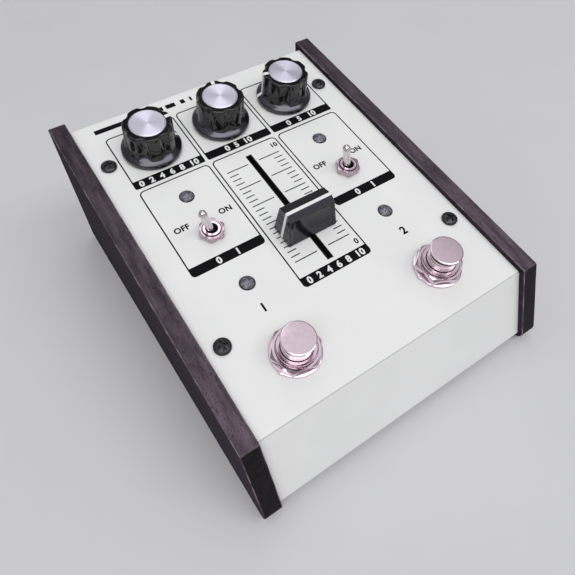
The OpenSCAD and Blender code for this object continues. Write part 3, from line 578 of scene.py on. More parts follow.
@dataclass(frozen=True)
class LampLens(Finish):
    """Clear lens of a lamp that is off."""

    tint: Colour = (0.72, 0.70, 0.78)
    deepening: float = 0.8
    cloud_scale: float = 1.2
    rough: Point2 = (0.03, 0.09)
    clear: float = 0.93
    bend: float = 1.48
    depth: float = 0.01

    def paint(self, sheet: NodeSheet) -> None:
        """Adds a faintly cloudy clear resin.

        Args:
            sheet: Sheet that takes the nodes.
        """
        cloud = sheet.noise(sheet.millimetres(), self.cloud_scale)
        deep = tuple(self.deepening * c for c in self.tint)
        sheet.shade(
            {
                "Base Color": sheet.blend(cloud, deep, self.tint),
                "Roughness": sheet.spread(cloud, NOISE_SPAN, self.rough),
                "Transmission Weight": self.clear,
                "IOR": self.bend,
            }
        )
        sheet.bump(cloud, self.depth)


@dataclass(frozen=True)
class LampCup(Finish):
    """Speckled grey cup, seen through a lens; its bright specks are painted glints."""

    dark: Colour = (0.10, 0.095, 0.125)
    # Colour of the bright specks: painted glints.
    light: Colour = (0.52, 0.50, 0.60)
    speck_scale: float = 1.1
    speck_span: Point2 = (0.38, 0.64)
    rough: Point2 = (0.25, 0.45)
    depth: float = 0.08

    def paint(self, sheet: NodeSheet) -> None:
        """Adds dark specks, bright specks that are painted glints, and a rough skin.

        Args:
            sheet: Sheet that takes the nodes.
        """
        speck = sheet.noise(sheet.millimetres(), self.speck_scale, 4.0)
        sheet.shade(
            {
                "Base Color": sheet.blend(sheet.spread(speck, self.speck_span), self.dark, self.light),
                "Roughness": sheet.spread(speck, NOISE_SPAN, self.rough),
            }
        )
        sheet.bump(speck, self.depth)


@dataclass(frozen=True)
class TableFloor(Finish):
    """Plain pale table under the pedal."""

    low: Colour = (0.60, 0.60, 0.62)
    high: Colour = (0.64, 0.64, 0.66)
    cloud_scale: float = 0.02
    rough: float = 0.8

    def paint(self, sheet: NodeSheet) -> None:
        """Adds a faint cloud to a matt grey."""
        cloud = sheet.noise(sheet.millimetres(), self.cloud_scale, 3.0)
        sheet.shade({"Base Color": sheet.blend(cloud, self.low, self.high), "Roughness": self.rough})


PANEL_PAINT = PanelPaint("panel_paint")
WOOD = DarkWood("cheek_wood")
# The pink of the chrome, the button stem and the small nuts is a painted reflection of pinkish
# surroundings; the small nuts are a darker copy, painted shade that dims their highlight.
CHROME = Metal("chrome_plate", (0.76, 0.615, 0.70), (0.08, 0.16), 0.002)
SMALL_NUT = Metal("small_nut", (0.50, 0.40, 0.45), (0.12, 0.2), 0.002)
NICKEL = Metal("nickel_plate", (0.74, 0.67, 0.66), (0.2, 0.32), 0.003)
STEM = Metal("button_stem", (0.68, 0.58, 0.61), (0.14, 0.24), 0.003)
LEVER = Metal("lever_nickel", (0.70, 0.66, 0.67), (0.10, 0.18), 0.002)
ZINC = Metal("zinc_steel", (0.62, 0.63, 0.66), (0.3, 0.45), 0.004)
TRAY_STEEL = Metal("tray_steel", (0.56, 0.57, 0.59), (0.36, 0.5), 0.005)
BRASS = Metal("pin_brass", (0.78, 0.60, 0.30), (0.2, 0.32), 0.002)
BLACK_SCREW = Metal("black_screws", (0.045, 0.043, 0.048), (0.26, 0.4), 0.006, 0.7)
SPUN = SpunAluminium("disc_aluminium")
# Grip, rim and skirt are copies of one black plastic: the nearly glossless rim is painted shade and the
# glossier skirt a painted highlight. The lavender glints of the skirt and the slider cap are a painted
# reflection colour.
KNOB = Plastic("knob_black", (0.006, 0.006, 0.007), 1.3, (0.08, 0.13), 3.0, 0.001, 0.6)
KNOB_RIM = Plastic("knob_rim", (0.005, 0.005, 0.006), 1.3, (0.22, 0.3), 3.0, 0.001, 0.05)
SKIRT_GLINT: Colour = (0.88, 0.84, 1.0)
CAP_GLINT: Colour = (0.95, 0.93, 1.0)
KNOB_SKIRT = Plastic("knob_skirt", (0.006, 0.006, 0.008), 1.3, (0.15, 0.2), 3.0, 0.001, 1.0, SKIRT_GLINT)
SLIDER_BLACK = Plastic(
    "slider_black", (0.007, 0.0065, 0.009), 1.25, (0.13, 0.19), 9.0, 0.001, 0.6, CAP_GLINT
)
# Paler copy of the cap's plastic for the brow: a painted sheen.
SLIDER_BROW_SHEEN = Plastic(
    "slider_brow_sheen", (0.034, 0.031, 0.041), 1.25, (0.2, 0.28), 9.0, 0.001, 0.6, CAP_GLINT
)
WHITE_PLASTIC = Plastic("white_line", (0.80, 0.80, 0.80), 1.06, (0.3, 0.4), 6.0, 0.003)
BLACK_INK = Plastic("black_ink", (0.005, 0.005, 0.006), 1.4, (0.42, 0.55), 12.0, 0.002, 0.04)
WHITE_INK = Plastic("white_ink", (0.78, 0.78, 0.77), 1.05, (0.42, 0.55), 12.0, 0.002)
# Near-black finish of bores and holes; under the button caps and round the lamp cups it is painted shade.
DARK_HOLE = Plastic("dark_bore", (0.006, 0.006, 0.006), 1.5, (0.5, 0.7), 4.0, 0.004)
BLACK_PLASTIC = Plastic("black_plastic", (0.018, 0.018, 0.019), 1.5, (0.34, 0.48), 5.0, 0.008)
RUBBER = Plastic("foot_rubber", (0.016, 0.016, 0.016), 1.6, (0.6, 0.78), 3.0, 0.03)
LAMP_CUP = LampCup("lamp_cup")
LENS = LampLens("lamp_clear")
BOARD = Plastic("board_green", (0.012, 0.10, 0.045), 1.5, (0.28, 0.45), 1.5, 0.01)
SLEEVE = Plastic("capacitor_sleeve", (0.02, 0.025, 0.06), 1.4, (0.2, 0.34), 2.0, 0.005)
CABLE = Plastic("cable_grey", (0.22, 0.22, 0.23), 1.3, (0.4, 0.55), 2.5, 0.02)
FLOOR = TableFloor("table_floor")


@dataclass(frozen=True)
class PanelFrame:
    """Place of the sloped panel: u across, v up the slope, h above its face."""

    corner: Vector
    up_slope: Vector
    normal: Vector

    @classmethod
    def from_joints(cls, joints: list[dict[str, Any]], knob_v: float) -> PanelFrame:
        """Finds the panel from the middle knob's axis and the slider's way.

        Args:
            joints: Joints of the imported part.
            knob_v: Distance of the knobs from the front fold.

        Returns:
            The panel's frame.
        """
        named = {joint["name"]: joint for joint in joints}
        knob = named["middle_knob_turn"]
        up_slope = Vector(named["slider_slide"]["axis"]).normalized()
        normal = Vector(knob["axis"]).normalized()
        return cls(Vector(knob["pos_m"]) - up_slope * knob_v * MM, up_slope, normal)

    def matrix(self, u: float, v: float, h: float = 0.0, turn: float = 0.0) -> Matrix:
        """Gives a place on the panel, its Z along the panel's normal.

        Args:
            u: Distance to the right of the middle.
            v: Distance from the front fold.
            h: Height above the face.
            turn: Turn about the normal, in degrees.

        Returns:
            The place, in metres.
        """
        across = Vector((1.0, 0.0, 0.0))
        point = self.corner + (across * u + self.up_slope * v + self.normal * h) * MM
        axes = Matrix((across, self.up_slope, self.normal)).transposed().to_4x4()
        spin = Matrix.Rotation(math.radians(turn), 4, "Z")
        return Matrix.Translation(point) @ axes @ spin


def level(r: float, h: float) -> Row:
    """Gives a row of a lathe with one radius and height."""
    return lambda angle: (r, h)


def turned_from(angle: float, target: float) -> float:
    """Gives the degrees between an angle in radians and a target in degrees."""
    return abs((math.degrees(angle) - target + 180) % 360 - 180)


def rounded_path(points: Sequence[Point2], radius: float, steps: int = 3) -> list[Point2]:
    """Rounds the corners of an open path.

    Args:
        points: Corners of the path; the first and the last stay.
        radius: Rounding of each corner that has room for it.
        steps: Flats in each rounding.

    Returns:
        Points of the rounded path.
    """
    path = [points[0]]
    for before, here, after in zip(points, points[1:], points[2:]):
        p, a, b = Vector(here), Vector(before) - Vector(here), Vector(after) - Vector(here)
        reach = min(radius, CORNER_SHARE * a.length, CORNER_SHARE * b.length)
        start, end = p + a.normalized() * reach, p + b.normalized() * reach
        for k in range(steps + 1):
            t = k / steps
            q = start * (1 - t) ** 2 + p * 2 * t * (1 - t) + end * t**2
            path.append((q.x, q.y))
    path.append(points[-1])
    return path


def rounded_rows(points: Sequence[Point2], radius: float, steps: int = 3) -> list[Row]:
    """Gives the rows of a lathe profile with rounded corners.

    Args:
        points: Profile from one end to the other, as radius and height.
        radius: Rounding of each corner that has room for it.
        steps: Flats in each rounding.

    Returns:
        Rows of the profile.
    """
    return [level(r, h) for r, h in rounded_path(points, radius, steps)]


def rounded_box(
    left: float, right: float, low: float, high: float, radii: Sequence[float], steps: int = 5
) -> list[Point2]:
    """Draws a box with rounded corners.

    Args:
        left: Left edge.
        right: Right edge.
        low: Lower edge.
        high: Upper edge.
        radii: Roundings of the lower left, lower right, upper right and upper left corners.
        steps: Flats in each corner.

    Returns:
        Outline, anticlockwise.
    """
    outline: list[Point2] = []
    corners = (
        (left, low, 1, 1, 180),
        (right, low, -1, 1, 270),
        (right, high, -1, -1, 0),
        (left, high, 1, -1, 90),
    )
    for (x, y, dx, dy, start), r in zip(corners, radii):
        for k in range(steps + 1):
            a = math.radians(start + 90 * k / steps)
            outline.append((x + dx * r + r * math.cos(a), y + dy * r + r * math.sin(a)))
    return outline


class Draft:
    """Gathers the faces of one piece, in millimetres of its own frame."""

    def __init__(self) -> None:
        """Starts without faces, at the first finish."""
        self.points: list[Vector] = []
        self.faces: list[list[int]] = []
        self.marks: list[int] = []
        self.finish = 0

    def point(self, place: Matrix, x: float, y: float, z: float) -> int:
        """Adds a point.

        Args:
            place: Place of the form that the point belongs to.
            x: First coordinate.
            y: Second coordinate.
            z: Third coordinate.

        Returns:
            Number of the point.
        """
        self.points.append(place @ Vector((x, y, z)))
        return len(self.points) - 1

    def face(self, corners: Sequence[int]) -> None:
        """Adds a face with the current finish."""
        self.faces.append(list(corners))
        self.marks.append(self.finish)

    def bridge(self, low: Sequence[int], high: Sequence[int]) -> None:
        """Joins two closed rings of points, either of which may be one point.

        Args:
            low: First ring.
            high: Second ring.
        """
        count = max(len(low), len(high))
        for i in range(count):
            j = (i + 1) % count
            if len(low) == 1:
                self.face([low[0], high[j], high[i]])
            elif len(high) == 1:
                self.face([low[i], low[j], high[0]])
            else:
                self.face([low[i], low[j], high[j], high[i]])

    def tube(self, rings: Sequence[Sequence[int]]) -> None:
        """Joins rings of as many points one after the other and closes both ends.

        Args:
            rings: Rings from one end to the other.
        """
        for low, high in zip(rings, rings[1:]):
            self.bridge(low, high)
        self.face(rings[0][::-1])
        self.face(rings[-1])

    def lathe(self, rows: Sequence[Row], steps: int, place: Matrix = Matrix(), loop: bool = False) -> None:
        """Turns a profile round the Z axis of a place.

        Args:
            rows: Radius and height of each row, by angle. A zero radius closes the form.
            steps: Flats round the axis.
            place: Place of the axis.
            loop: Whether the last row joins the first.
        """
        rings: list[list[int]] = []
        for row in rows:
            count = 1 if row(0.0)[0] == 0.0 else steps
            ring = []
            for i in range(count):
                a = math.tau * i / steps
                r, h = row(a)
                ring.append(self.point(place, r * math.cos(a), r * math.sin(a), h))
            rings.append(ring)
        for low, high in zip(rings, rings[1:]):
            self.bridge(low, high)
        if loop:
            self.bridge(rings[-1], rings[0])

    def stack(self, levels: Sequence[tuple[Sequence[Point2], float]], place: Matrix = Matrix()) -> None:
        """Joins outlines of as many points, one above the other, and closes the ends.

        Args:
            levels: Outline and height of each level.
            place: Place of the form.
        """
        self.tube([[self.point(place, x, y, h) for x, y in outline] for outline, h in levels])

    def band(self, outer: Sequence[Point2], inner: Sequence[Point2], low: float, high: float) -> None:
        """Fills the space between two outlines of as many points.

        Args:
            outer: Outer outline.
            inner: Inner outline.
            low: Lower height.
            high: Upper height.
        """
        flat = Matrix()
        rings = [
            [self.point(flat, x, y, h) for x, y in outline]
            for outline, h in ((outer, low), (outer, high), (inner, high), (inner, low))
        ]
        for i in range(4):
            self.bridge(rings[i], rings[(i + 1) % 4])

    def strip(self, path: Sequence[PathStep], half: float, inside: float, out: float) -> None:
        """Lays a flat strip along a path in the XZ plane.

        Args:
            path: Point and outward normal of each step, as x, z, normal x and normal z.
            half: Half the strip's width along Y.
            inside: Depth below the path.
            out: Height above the path.
        """
        corners = ((-half, -inside), (half, -inside), (half, out), (-half, out))
        rings = []
        for x, z, nx, nz in path:
            rings.append([self.point(Matrix(), x + nx * t, y, z + nz * t) for y, t in corners])
        self.tube(rings)

    def lettering(self, text: str, cap: float, at: Point2, low: float, high: float, bold: float) -> None:
        """Adds flat figures as thin solids.

        Args:
            text: Figures to set.
            cap: Height of the figures.
            at: Middle of the text.
            low: Height of its lower face.
            high: Height of its upper face.
            bold: Widening of each stroke, as a share of the height.
        """
        curve = bpy.data.curves.new("lettering", "FONT")
        curve.body = text
        curve.space_character = LETTER_GAP
        curve.size = cap * FONT_PER_CAP
        curve.offset = bold * cap
        curve.extrude = (high - low) / 2
        holder = bpy.data.objects.new("lettering", curve)
        bpy.context.scene.collection.objects.link(holder)
        mesh = bpy.data.meshes.new_from_object(holder.evaluated_get(bpy.context.evaluated_depsgraph_get()))
        xs = [v.co.x for v in mesh.vertices]
        ys = [v.co.y for v in mesh.vertices]
        dx, dy = at[0] - (min(xs) + max(xs)) / 2, at[1] - (min(ys) + max(ys)) / 2
        shift = Matrix.Translation((dx, dy, (low + high) / 2))
        first = len(self.points)
        for vertex in mesh.vertices:
            self.point(shift, *vertex.co)
        for polygon in mesh.polygons:
            self.face([first + i for i in polygon.vertices])
        bpy.data.objects.remove(holder)
        bpy.data.curves.remove(curve)
        bpy.data.meshes.remove(mesh)

    def build(
        self, name: str, finishes: Sequence[Finish], place: Matrix = Matrix(), crease: float = 35.0
    ) -> Piece:
        """Makes the piece.

        Args:
            name: Name of the piece.
            finishes: Finishes by number.
            place: Place of the piece, in metres.
            crease: Angle in degrees from which an edge stays sharp.

        Returns:
            The piece, in the scene.
        """
        work = bmesh.new()
        verts = [work.verts.new(p * MM) for p in self.points]
        for corners, mark in zip(self.faces, self.marks):
            made = work.faces.new([verts[i] for i in corners])
            made.material_index = mark
        bmesh.ops.remove_doubles(work, verts=work.verts, dist=SAME_POINT)
        bmesh.ops.recalc_face_normals(work, faces=work.faces)
        piece = shown(name, work, finishes, crease)
        piece.matrix_world = place
        return piece


def shown(name: str, work: bmesh.types.BMesh, finishes: Sequence[Finish], crease: float) -> Piece:
    """Turns worked faces into a piece of the scene.

    Args:
        name: Name of the piece.
        work: Faces, in metres; they are freed.
        finishes: Finishes by number.
        crease: Angle in degrees from which an edge stays sharp.

    Returns:
        The piece.
    """
    for made in work.faces:
        made.smooth = True
    mesh = bpy.data.meshes.new(name)
    work.to_mesh(mesh)
    work.free()
    mesh.set_sharp_from_angle(angle=math.radians(crease))
    for finish in finishes:
        mesh.materials.append(finish.material())
    piece = bpy.data.objects.new(name, mesh)
    bpy.context.scene.collection.objects.link(piece)
    return piece


def softened(
    node: str, width: float, finishes: Sequence[Finish], zone: Zone | None = None, segments: int = 2
) -> Piece:
    """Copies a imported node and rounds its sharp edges.

    Args:
        node: Name of the node.
        width: Width of the rounding.
        finishes: Finishes by number.
        zone: Gives a face's finish from its middle, in metres, and its normal.
        segments: Flats in each rounding.

    Returns:
        The rounded copy.
    """
    work = bmesh.new()
    work.from_mesh(frame["nodes"][node].data)
    bmesh.ops.remove_doubles(work, verts=work.verts, dist=WELD)
    bmesh.ops.dissolve_limit(work, angle_limit=FLAT_TURN, verts=work.verts, edges=work.edges)
    sharp = [e for e in work.edges if len(e.link_faces) == 2 and e.calc_face_angle() > SHARP_TURN]
    if zone:
        for made in work.faces:
            made.material_index = zone(made.calc_center_median(), made.normal)
    bmesh.ops.bevel(
        work,
        geom=sharp,
        offset=width * MM,
        offset_type="OFFSET",
        segments=segments,
        profile=0.5,
        affect="EDGES",
        clamp_overlap=False,
    )
    piece = shown(node + "_soft", work, finishes, SOFT_CREASE)
    even = piece.modifiers.new("even_shading", "WEIGHTED_NORMAL")
    even.keep_sharp = True
    return piece


def mount(piece: Piece, body: str, slot: str, *nodes: str) -> Piece:
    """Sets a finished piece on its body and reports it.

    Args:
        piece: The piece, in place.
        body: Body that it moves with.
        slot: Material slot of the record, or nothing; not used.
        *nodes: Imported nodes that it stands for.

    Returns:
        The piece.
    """
    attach(piece, body)
    if nodes:
        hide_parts(*nodes)
    LOG.info("%s on %s, %d faces", piece.name, body, len(piece.data.polygons))
    return piece


def mount_softened(
    node: str,
    width: float,
    finishes: Sequence[Finish],
    slot: str,
    zone: Zone | None = None,
    segments: int = 2,
) -> None:
    """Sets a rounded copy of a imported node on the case, in the node's stead.

    Args:
        node: Name of the node.
        width: Width of the rounding.
        finishes: Finishes by number.
        slot: Material slot of the record.
        zone: Gives a face's finish from its middle, in metres, and its normal.
        segments: Flats in each rounding.
    """
    mount(softened(node, width, finishes, zone, segments), "case", slot, node)


def dress(finish: Finish, *nodes: str) -> None:
    """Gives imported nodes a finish.

    Args:
        finish: The finish.
        *nodes: Names of the nodes.
    """
    for node in nodes:
        materials = frame["nodes"][node].data.materials
        materials.clear()
        materials.append(finish.material())
        LOG.info("%s dressed in %s", node, finish.name)


@dataclass
class Case:
    """Folded cover, tray, wooden cheeks, feet and their screws."""

    panel: PanelFrame
    cheek_edge: float = 0.3
    screw_edge: float = 0.1
    foot_edge: float = 0.5
    slot_half: float = 1.2
    slot_low: float = 36.1
    slot_high: float = 86.9
    lining_wall: float = 0.28
    lining_gap: float = 0.02
    lining_corner: float = 0.05
    lining_top: float = 0.03
    sheet: float = 1.2

    def build(self) -> None:
        """Builds the cheeks, the slot's lining and the small parts."""
        dress(PANEL_PAINT, "top_cover")
        dress(TRAY_STEEL, "base_tray")
        dress(ZINC, "cheek_screws", "foot_screws")
        for side in Side:
            mount_softened(f"{side.word}_cheek", self.cheek_edge, [WOOD], "cheek_wood", segments=3)
        mount_softened("panel_screws", self.screw_edge, [BLACK_SCREW], "black_screws")
        mount_softened("rubber_feet", self.foot_edge, [RUBBER], "foot_rubber", segments=3)
        mount(self.lining(), "case", "black_plastic")

    def lining(self) -> Piece:
        """Makes the black edge inside the slider's slot.

        Returns:
            The edge.
        """
        outlines = []
        for grow in (self.lining_gap, self.lining_gap + self.lining_wall):
            half = self.slot_half - grow
            low, high = self.slot_low + grow, self.slot_high - grow
            outlines.append(rounded_box(-half, half, low, high, [self.lining_corner] * 4))
        draft = Draft()
        draft.band(*outlines, -self.sheet, self.lining_top)
        return draft.build("slot_lining", [DARK_HOLE], self.panel.matrix(0.0, 0.0))


@dataclass
class PanelPrint:
    """Boxes, bars, ticks and numbers printed on the panel."""

    panel: PanelFrame
    side_box: Point2 = (14.4, 40.95)
    middle_half: float = 13.3
    knob_box: Heights = (91.85, 95.42, 118.3)
    toggle_box: Heights = (51.87, 55.45, 90.55)
    slider_box: Heights = (31.2, 34.87, 90.5)
    corner: float = 1.9
    crisp: float = 0.02
    bar_corners: Point2 = (0.7, 1.4)
    line: float = 0.46
    sunk: float = -0.02
    skin: float = 0.03
    text_skin: float = 0.05
    bold: float = 0.05
    bar_cap: float = 2.4
    bar_bold: float = 0.06
    switch_cap: float = 2.15
    switch_words: tuple[tuple[str, float, float], ...] = (("ON", 8.3, 70.0), ("OFF", -7.7, 70.1))
    numbers: tuple[tuple[str, float, float, float], ...] = (
        ("10", 2.0, 11.0, 86.9),
        ("0", 2.0, 11.2, 37.3),
        ("1", 3.0, -27.7, 32.5),
        ("2", 3.0, 27.7, 32.5),
    )
    long_tick: Point2 = (2.2, 10.8)
    short_tick: Point2 = (7.5, 10.85)
    tick: float = 0.38
    tick_top: float = 83.2
    tick_step: float = 8.51
    tick_count: int = 6
    tick_parts: int = 4
    stripe: tuple[float, float, float, float] = (-42.5, -15.65, 122.0, 124.1)
    stripe_corner: float = 0.05
    dashes: tuple[Point2, ...] = ((-14.4, 3.85), (-8.3, 1.8), (-4.35, 0.85))

    def build(self) -> None:
        """Builds the black print and the white figures on it."""
        black, white = Draft(), Draft()
        self.boxes(black)
        self.scale(black)
        self.words(black, white)
        place = self.panel.matrix(0.0, 0.0)
        mount(black.build("panel_print", [BLACK_INK], place), "case", "")
        mount(white.build("panel_figures", [WHITE_INK], place), "case", "")

    def patch(
        self, draft: Draft, left: float, right: float, low: float, high: float, radii: Sequence[float]
    ) -> None:
        """Prints a filled patch.

        Args:
            draft: Print that takes it.
            left: Left edge.
            right: Right edge.
            low: Lower edge.
            high: Upper edge.
            radii: Roundings of its corners.
        """
        outline = rounded_box(left, right, low, high, radii)
        draft.stack([(outline, self.sunk), (outline, self.skin)])

    def frame_box(self, draft: Draft, left: float, right: float, levels: Heights) -> None:
        """Prints a box with a filled bar along its foot.

        Args:
            draft: Print that takes it.
            left: Left edge.
            right: Right edge.
            levels: Heights of its foot, of the bar's top and of its own top.
        """
        low, bar, high = levels
        r, t, crisp = self.corner, self.line, self.crisp
        foot = self.bar_corners[0 if levels == self.knob_box else 1]
        outer = rounded_box(left, right, bar - t, high, [crisp, crisp, r, r])
        inner = rounded_box(left + t, right - t, bar - t / 2, high - t, [crisp, crisp, r - t, r - t])
        draft.band(outer, inner, self.sunk, self.skin)
        self.patch(draft, left, right, low, bar, [foot, foot, crisp, crisp])

    def boxes(self, draft: Draft) -> None:
        """Prints the boxes round the controls and the stripe above them.

        Args:
            draft: Black print.
        """
        near, far = self.side_box
        for levels in (self.knob_box, self.toggle_box):
            self.frame_box(draft, -far, -near, levels)
            self.frame_box(draft, near, far, levels)
        for levels in (self.knob_box, self.slider_box):
            self.frame_box(draft, -self.middle_half, self.middle_half, levels)
        left, right, low, high = self.stripe
        radii = [self.stripe_corner] * 4
        self.patch(draft, left, right, low, high, radii)
        for start, length in self.dashes:
            self.patch(draft, start, start + length, low, high, radii)

    def scale(self, draft: Draft) -> None:
        """Prints the slider's ticks.

        Args:
            draft: Black print.
        """
        half, step = self.tick / 2, self.tick_step / self.tick_parts
        for k in range(self.tick_parts * (self.tick_count - 1) + 1):
            v = self.tick_top - k * step
            near, far = self.short_tick if k % self.tick_parts else self.long_tick
            for left, right in ((-far, -near), (near, far)):
                self.patch(draft, left, right, v - half, v + half, [self.crisp] * 4)

    def words(self, black: Draft, white: Draft) -> None:
        """Prints the plain numbers and the switches' ON and OFF.

        Args:
            black: Black print.
            white: White figures on the bars.
        """
        low, high, bold = self.sunk, self.skin, self.bold
        for text, cap, u, v in self.numbers:
            black.lettering(text, cap, (u, v), low, high, bold)
        for side in Side:
            for text, u, v in self.switch_words:
                black.lettering(text, self.switch_cap, (side.value * SIDE_U + u, v), low, high, bold)
        middle = sum(self.side_box) / 2
        bars = (
            ("0  2  4  6  8  10", -middle, self.knob_box),
            ("0  5  10", 0.0, self.knob_box),
            ("0   5   10", middle, self.knob_box),
            ("0     1", -middle, self.toggle_box),
            ("0     1", middle, self.toggle_box),
            ("0  2  4  6  8  10", 0.0, self.slider_box),
        )
        for text, u, (foot, top, _) in bars:
            white.lettering(text, self.bar_cap, (u, (foot + top) / 2), 0.0, self.text_skin, self.bar_bold)


@dataclass
class Knob:
    """Fluted knob with a skirt, a turned disc and a white pointer."""

    panel: PanelFrame
    name: str
    u: float
    angle: float
    v: float = 106.5
    skirt_r: float = 10.6
    skirt_low: float = 0.5
    skirt_high: float = 2.0
    skirt_rise: float = 1.2 / 1.8
    skirt_flat: float = 1.2
    skirt_round: float = 0.3
    grip_r: float = 8.8
    grip_top_r: float = 8.5
    grip_foot: float = 3.2
    grip_steps: int = 5
    foot_lift: float = 0.12
    foot_soft: Point2 = (0.15, 0.1)
    top: float = 12.2
    rim: float = 0.55
    rim_steps: int = 5
    seat_edge: float = 0.12
    flutes: int = 7
    flute_r: float = 3.0
    flute_depth: float = 1.0
    flute_soft: float = 0.22
    disc_r: float = 6.3
    disc_gap: float = 0.05
    disc_floor: float = 11.3
    disc_top: float = 12.45
    disc_middle: float = 2.0
    disc_bevel: Point2 = (0.45, 0.22)
    disc_lift: float = 0.02
    disc_steps: int = 96
    hollow_r: float = 6.6
    hollow_top: float = 4.5
    bore_r: float = 3.05
    bore_top: float = 9.85
    pointer_w: float = 1.3
    pointer_out: float = 0.05
    pointer_in: float = 0.25
    pointer_step: float = 0.25
    pointer_end: float = 0.2
    pointer_lift: float = 0.05
    pointer_tuck: float = 0.02
    pointer_ways: tuple[Point2, ...] = ((0.8, 0.6), (0.55, 0.83), (1.0, 0.2), (1.0, 0.0))
    round_steps: int = 26

    def build(self) -> None:
        """Builds the knob, its disc and its pointer."""
        body = f"{self.name}_knob_set"
        place = self.panel.matrix(self.u, self.v, 0.0, self.angle)
        draft = Draft()
        steps = self.flutes * self.round_steps
        for number, rows in enumerate((self.grip_rows(), self.rim_rows(), self.skirt_rows())):
            draft.finish = number
            draft.lathe(rows, steps)
        knob = draft.build(f"{self.name}_knob_body", [KNOB, KNOB_RIM, KNOB_SKIRT], place, crease=40.0)
        mount(knob, body, "knob_black", f"{self.name}_knob")
        mount(self.disc(place), body, "disc_aluminium", f"{self.name}_disc")
        mount(self.pointer(place), body, "white_line", f"{self.name}_pointer")
        dress(NICKEL, f"{self.name}_shaft", f"{self.name}_pot")

    def grip(self, angle: float, h: float) -> float:
        """Gives the fluted body's radius.

        Args:
            angle: Angle from the pointer.
            h: Height above the panel.

        Returns:
            Radius there.
        """
        share = max(0.0, min(1.0, (h - self.grip_foot) / (self.top - self.grip_foot)))
        plain = self.grip_r + (self.grip_top_r - self.grip_r) * share
        step = math.tau / self.flutes
        away = (angle % step) - step / 2
        centre = self.grip_r - self.flute_depth + self.flute_r
        inside = self.flute_r**2 - (centre * math.sin(away)) ** 2
        if inside <= 0.0:
            return plain
        cut = centre * math.cos(away) - math.sqrt(inside)
        k = self.flute_soft
        mix = max(0.0, min(1.0, 0.5 + 0.5 * (cut - plain) / k))
        return cut * (1 - mix) + plain * mix - k * mix * (1 - mix)

    def foot(self, angle: float) -> Point2:
        """Gives where the fluted body meets the skirt's slope."""
        r = self.grip(angle, self.grip_foot)
        return r, self.skirt_high + (self.skirt_r - r) * self.skirt_rise

    def lifted_foot(self, angle: float) -> Point2:
        """Gives the grip's lower edge, a little above the skirt's slope."""
        r, h = self.foot(angle)
        return r, h + self.foot_lift

    def soft_foot(self, angle: float) -> Point2:
        """Gives the skirt's upper edge, a little outside the grip."""
        r, h = self.foot(angle)
        return r + self.foot_soft[0], h - self.foot_soft[1]

    def brow_angle(self, step: int) -> float:
        """Gives the slope of a step in the rounding between the rim and the grip."""
        return math.radians(90 - 90 / self.rim_steps * step)

    def brow(self, step: int) -> Row:
        """Gives a row of the rounding between the rim and the grip.

        Args:
            step: Number of the row, from the rim.

        Returns:
            The row.
        """
        a = self.brow_angle(step)
        r, high = self.rim, self.top - self.rim
        return lambda t: (self.grip(t, high) - r * (1 - math.cos(a)), high + r * math.sin(a))

    def rim_rows(self) -> list[Row]:
        """Gives the rows of the disc's seat and the flat rim round it.

        Returns:
            Rows from the middle outwards.
        """
        seat, edge = self.disc_r + self.disc_gap, self.seat_edge
        return [
            level(0.0, self.disc_floor),
            level(seat, self.disc_floor),
            level(seat, self.top - edge),
            level(seat + edge, self.top),
            self.brow(0),
        ]

    def grip_rows(self) -> list[Row]:
        """Gives the rows of the fluted grip.

        Returns:
            Rows from the rim downwards.
        """
        rows = [self.brow(k) for k in range(self.rim_steps + 1)]
        for k in range(1, self.grip_steps):
            rows.append(partial(self.side, share=k / self.grip_steps))
        return rows + [self.lifted_foot]

    def skirt_rows(self) -> list[Row]:
        """Gives the rows of the skirt, its underside and the bore.

        Returns:
            Rows from the grip's foot, outside and under, into the bore.
        """
        outside = [
            (self.skirt_r - self.skirt_flat, self.skirt_high + self.skirt_flat * self.skirt_rise),
            (self.skirt_r, self.skirt_high),
            (self.skirt_r, self.skirt_low),
            (self.hollow_r, self.skirt_low),
            (self.hollow_r, self.hollow_top),
            (self.bore_r, self.hollow_top),
            (self.bore_r, self.bore_top),
            (0.0, self.bore_top),
        ]
        return [self.lifted_foot, self.soft_foot, *rounded_rows(outside, self.skirt_round)]

    def side(self, angle: float, share: float) -> Point2:
        """Gives a point on the grip's side.

        Args:
            angle: Angle from the pointer.
            share: Share of the way from the rim to the foot.

        Returns:
            Radius and height there.
        """
        high = self.top - self.rim
        low = self.foot(angle)[1]
        h = high + (low - high) * share
        return self.grip(angle, h), h

    def disc(self, place: Matrix) -> Piece:
        """Makes the turned disc with its chamfered edge.

        Args:
            place: Place of the knob.

        Returns:
            The disc.
        """
        inward, down = self.disc_bevel
        low = self.disc_floor + self.disc_lift
        edge = [
            (0.0, self.disc_top),
            (self.disc_middle, self.disc_top),
            (self.disc_r - inward, self.disc_top),
            (self.disc_r, self.disc_top - down),
            (self.disc_r, low),
            (0.0, low),
        ]
        draft = Draft()
        draft.lathe([level(*p) for p in edge], self.disc_steps)
        return draft.build(f"{self.name}_knob_disc", [SPUN], place, crease=20.0)

    def pointer(self, place: Matrix) -> Piece:
        """Makes the white strip over the rim, the grip and the skirt.

        Args:
            place: Place of the knob.

        Returns:
            The strip.
        """
        r, high = self.rim, self.top - self.rim
        base = self.grip(0.0, high) - r
        path: list[PathStep] = [(self.disc_r + self.disc_gap + self.seat_edge, self.top, 0.0, 1.0)]
        for k in range(self.rim_steps + 1):
            a = self.brow_angle(k)
            path.append((base + r * math.cos(a), high + r * math.sin(a), math.cos(a), math.sin(a)))
        foot_r, foot_h = self.foot(0.0)
        step, end = self.pointer_step, self.pointer_end
        spots = (
            (foot_r, foot_h + self.pointer_lift),
            (self.skirt_r - step, self.skirt_high + step * self.skirt_rise),
            (self.skirt_r - self.pointer_tuck, self.skirt_high - end),
            (self.skirt_r, self.skirt_low + end),
        )
        path += [(*spot, *way) for spot, way in zip(spots, self.pointer_ways)]
        draft = Draft()
        draft.strip(path, self.pointer_w / 2, self.pointer_in, self.pointer_out)
        return draft.build(f"{self.name}_knob_pointer", [WHITE_PLASTIC], place)


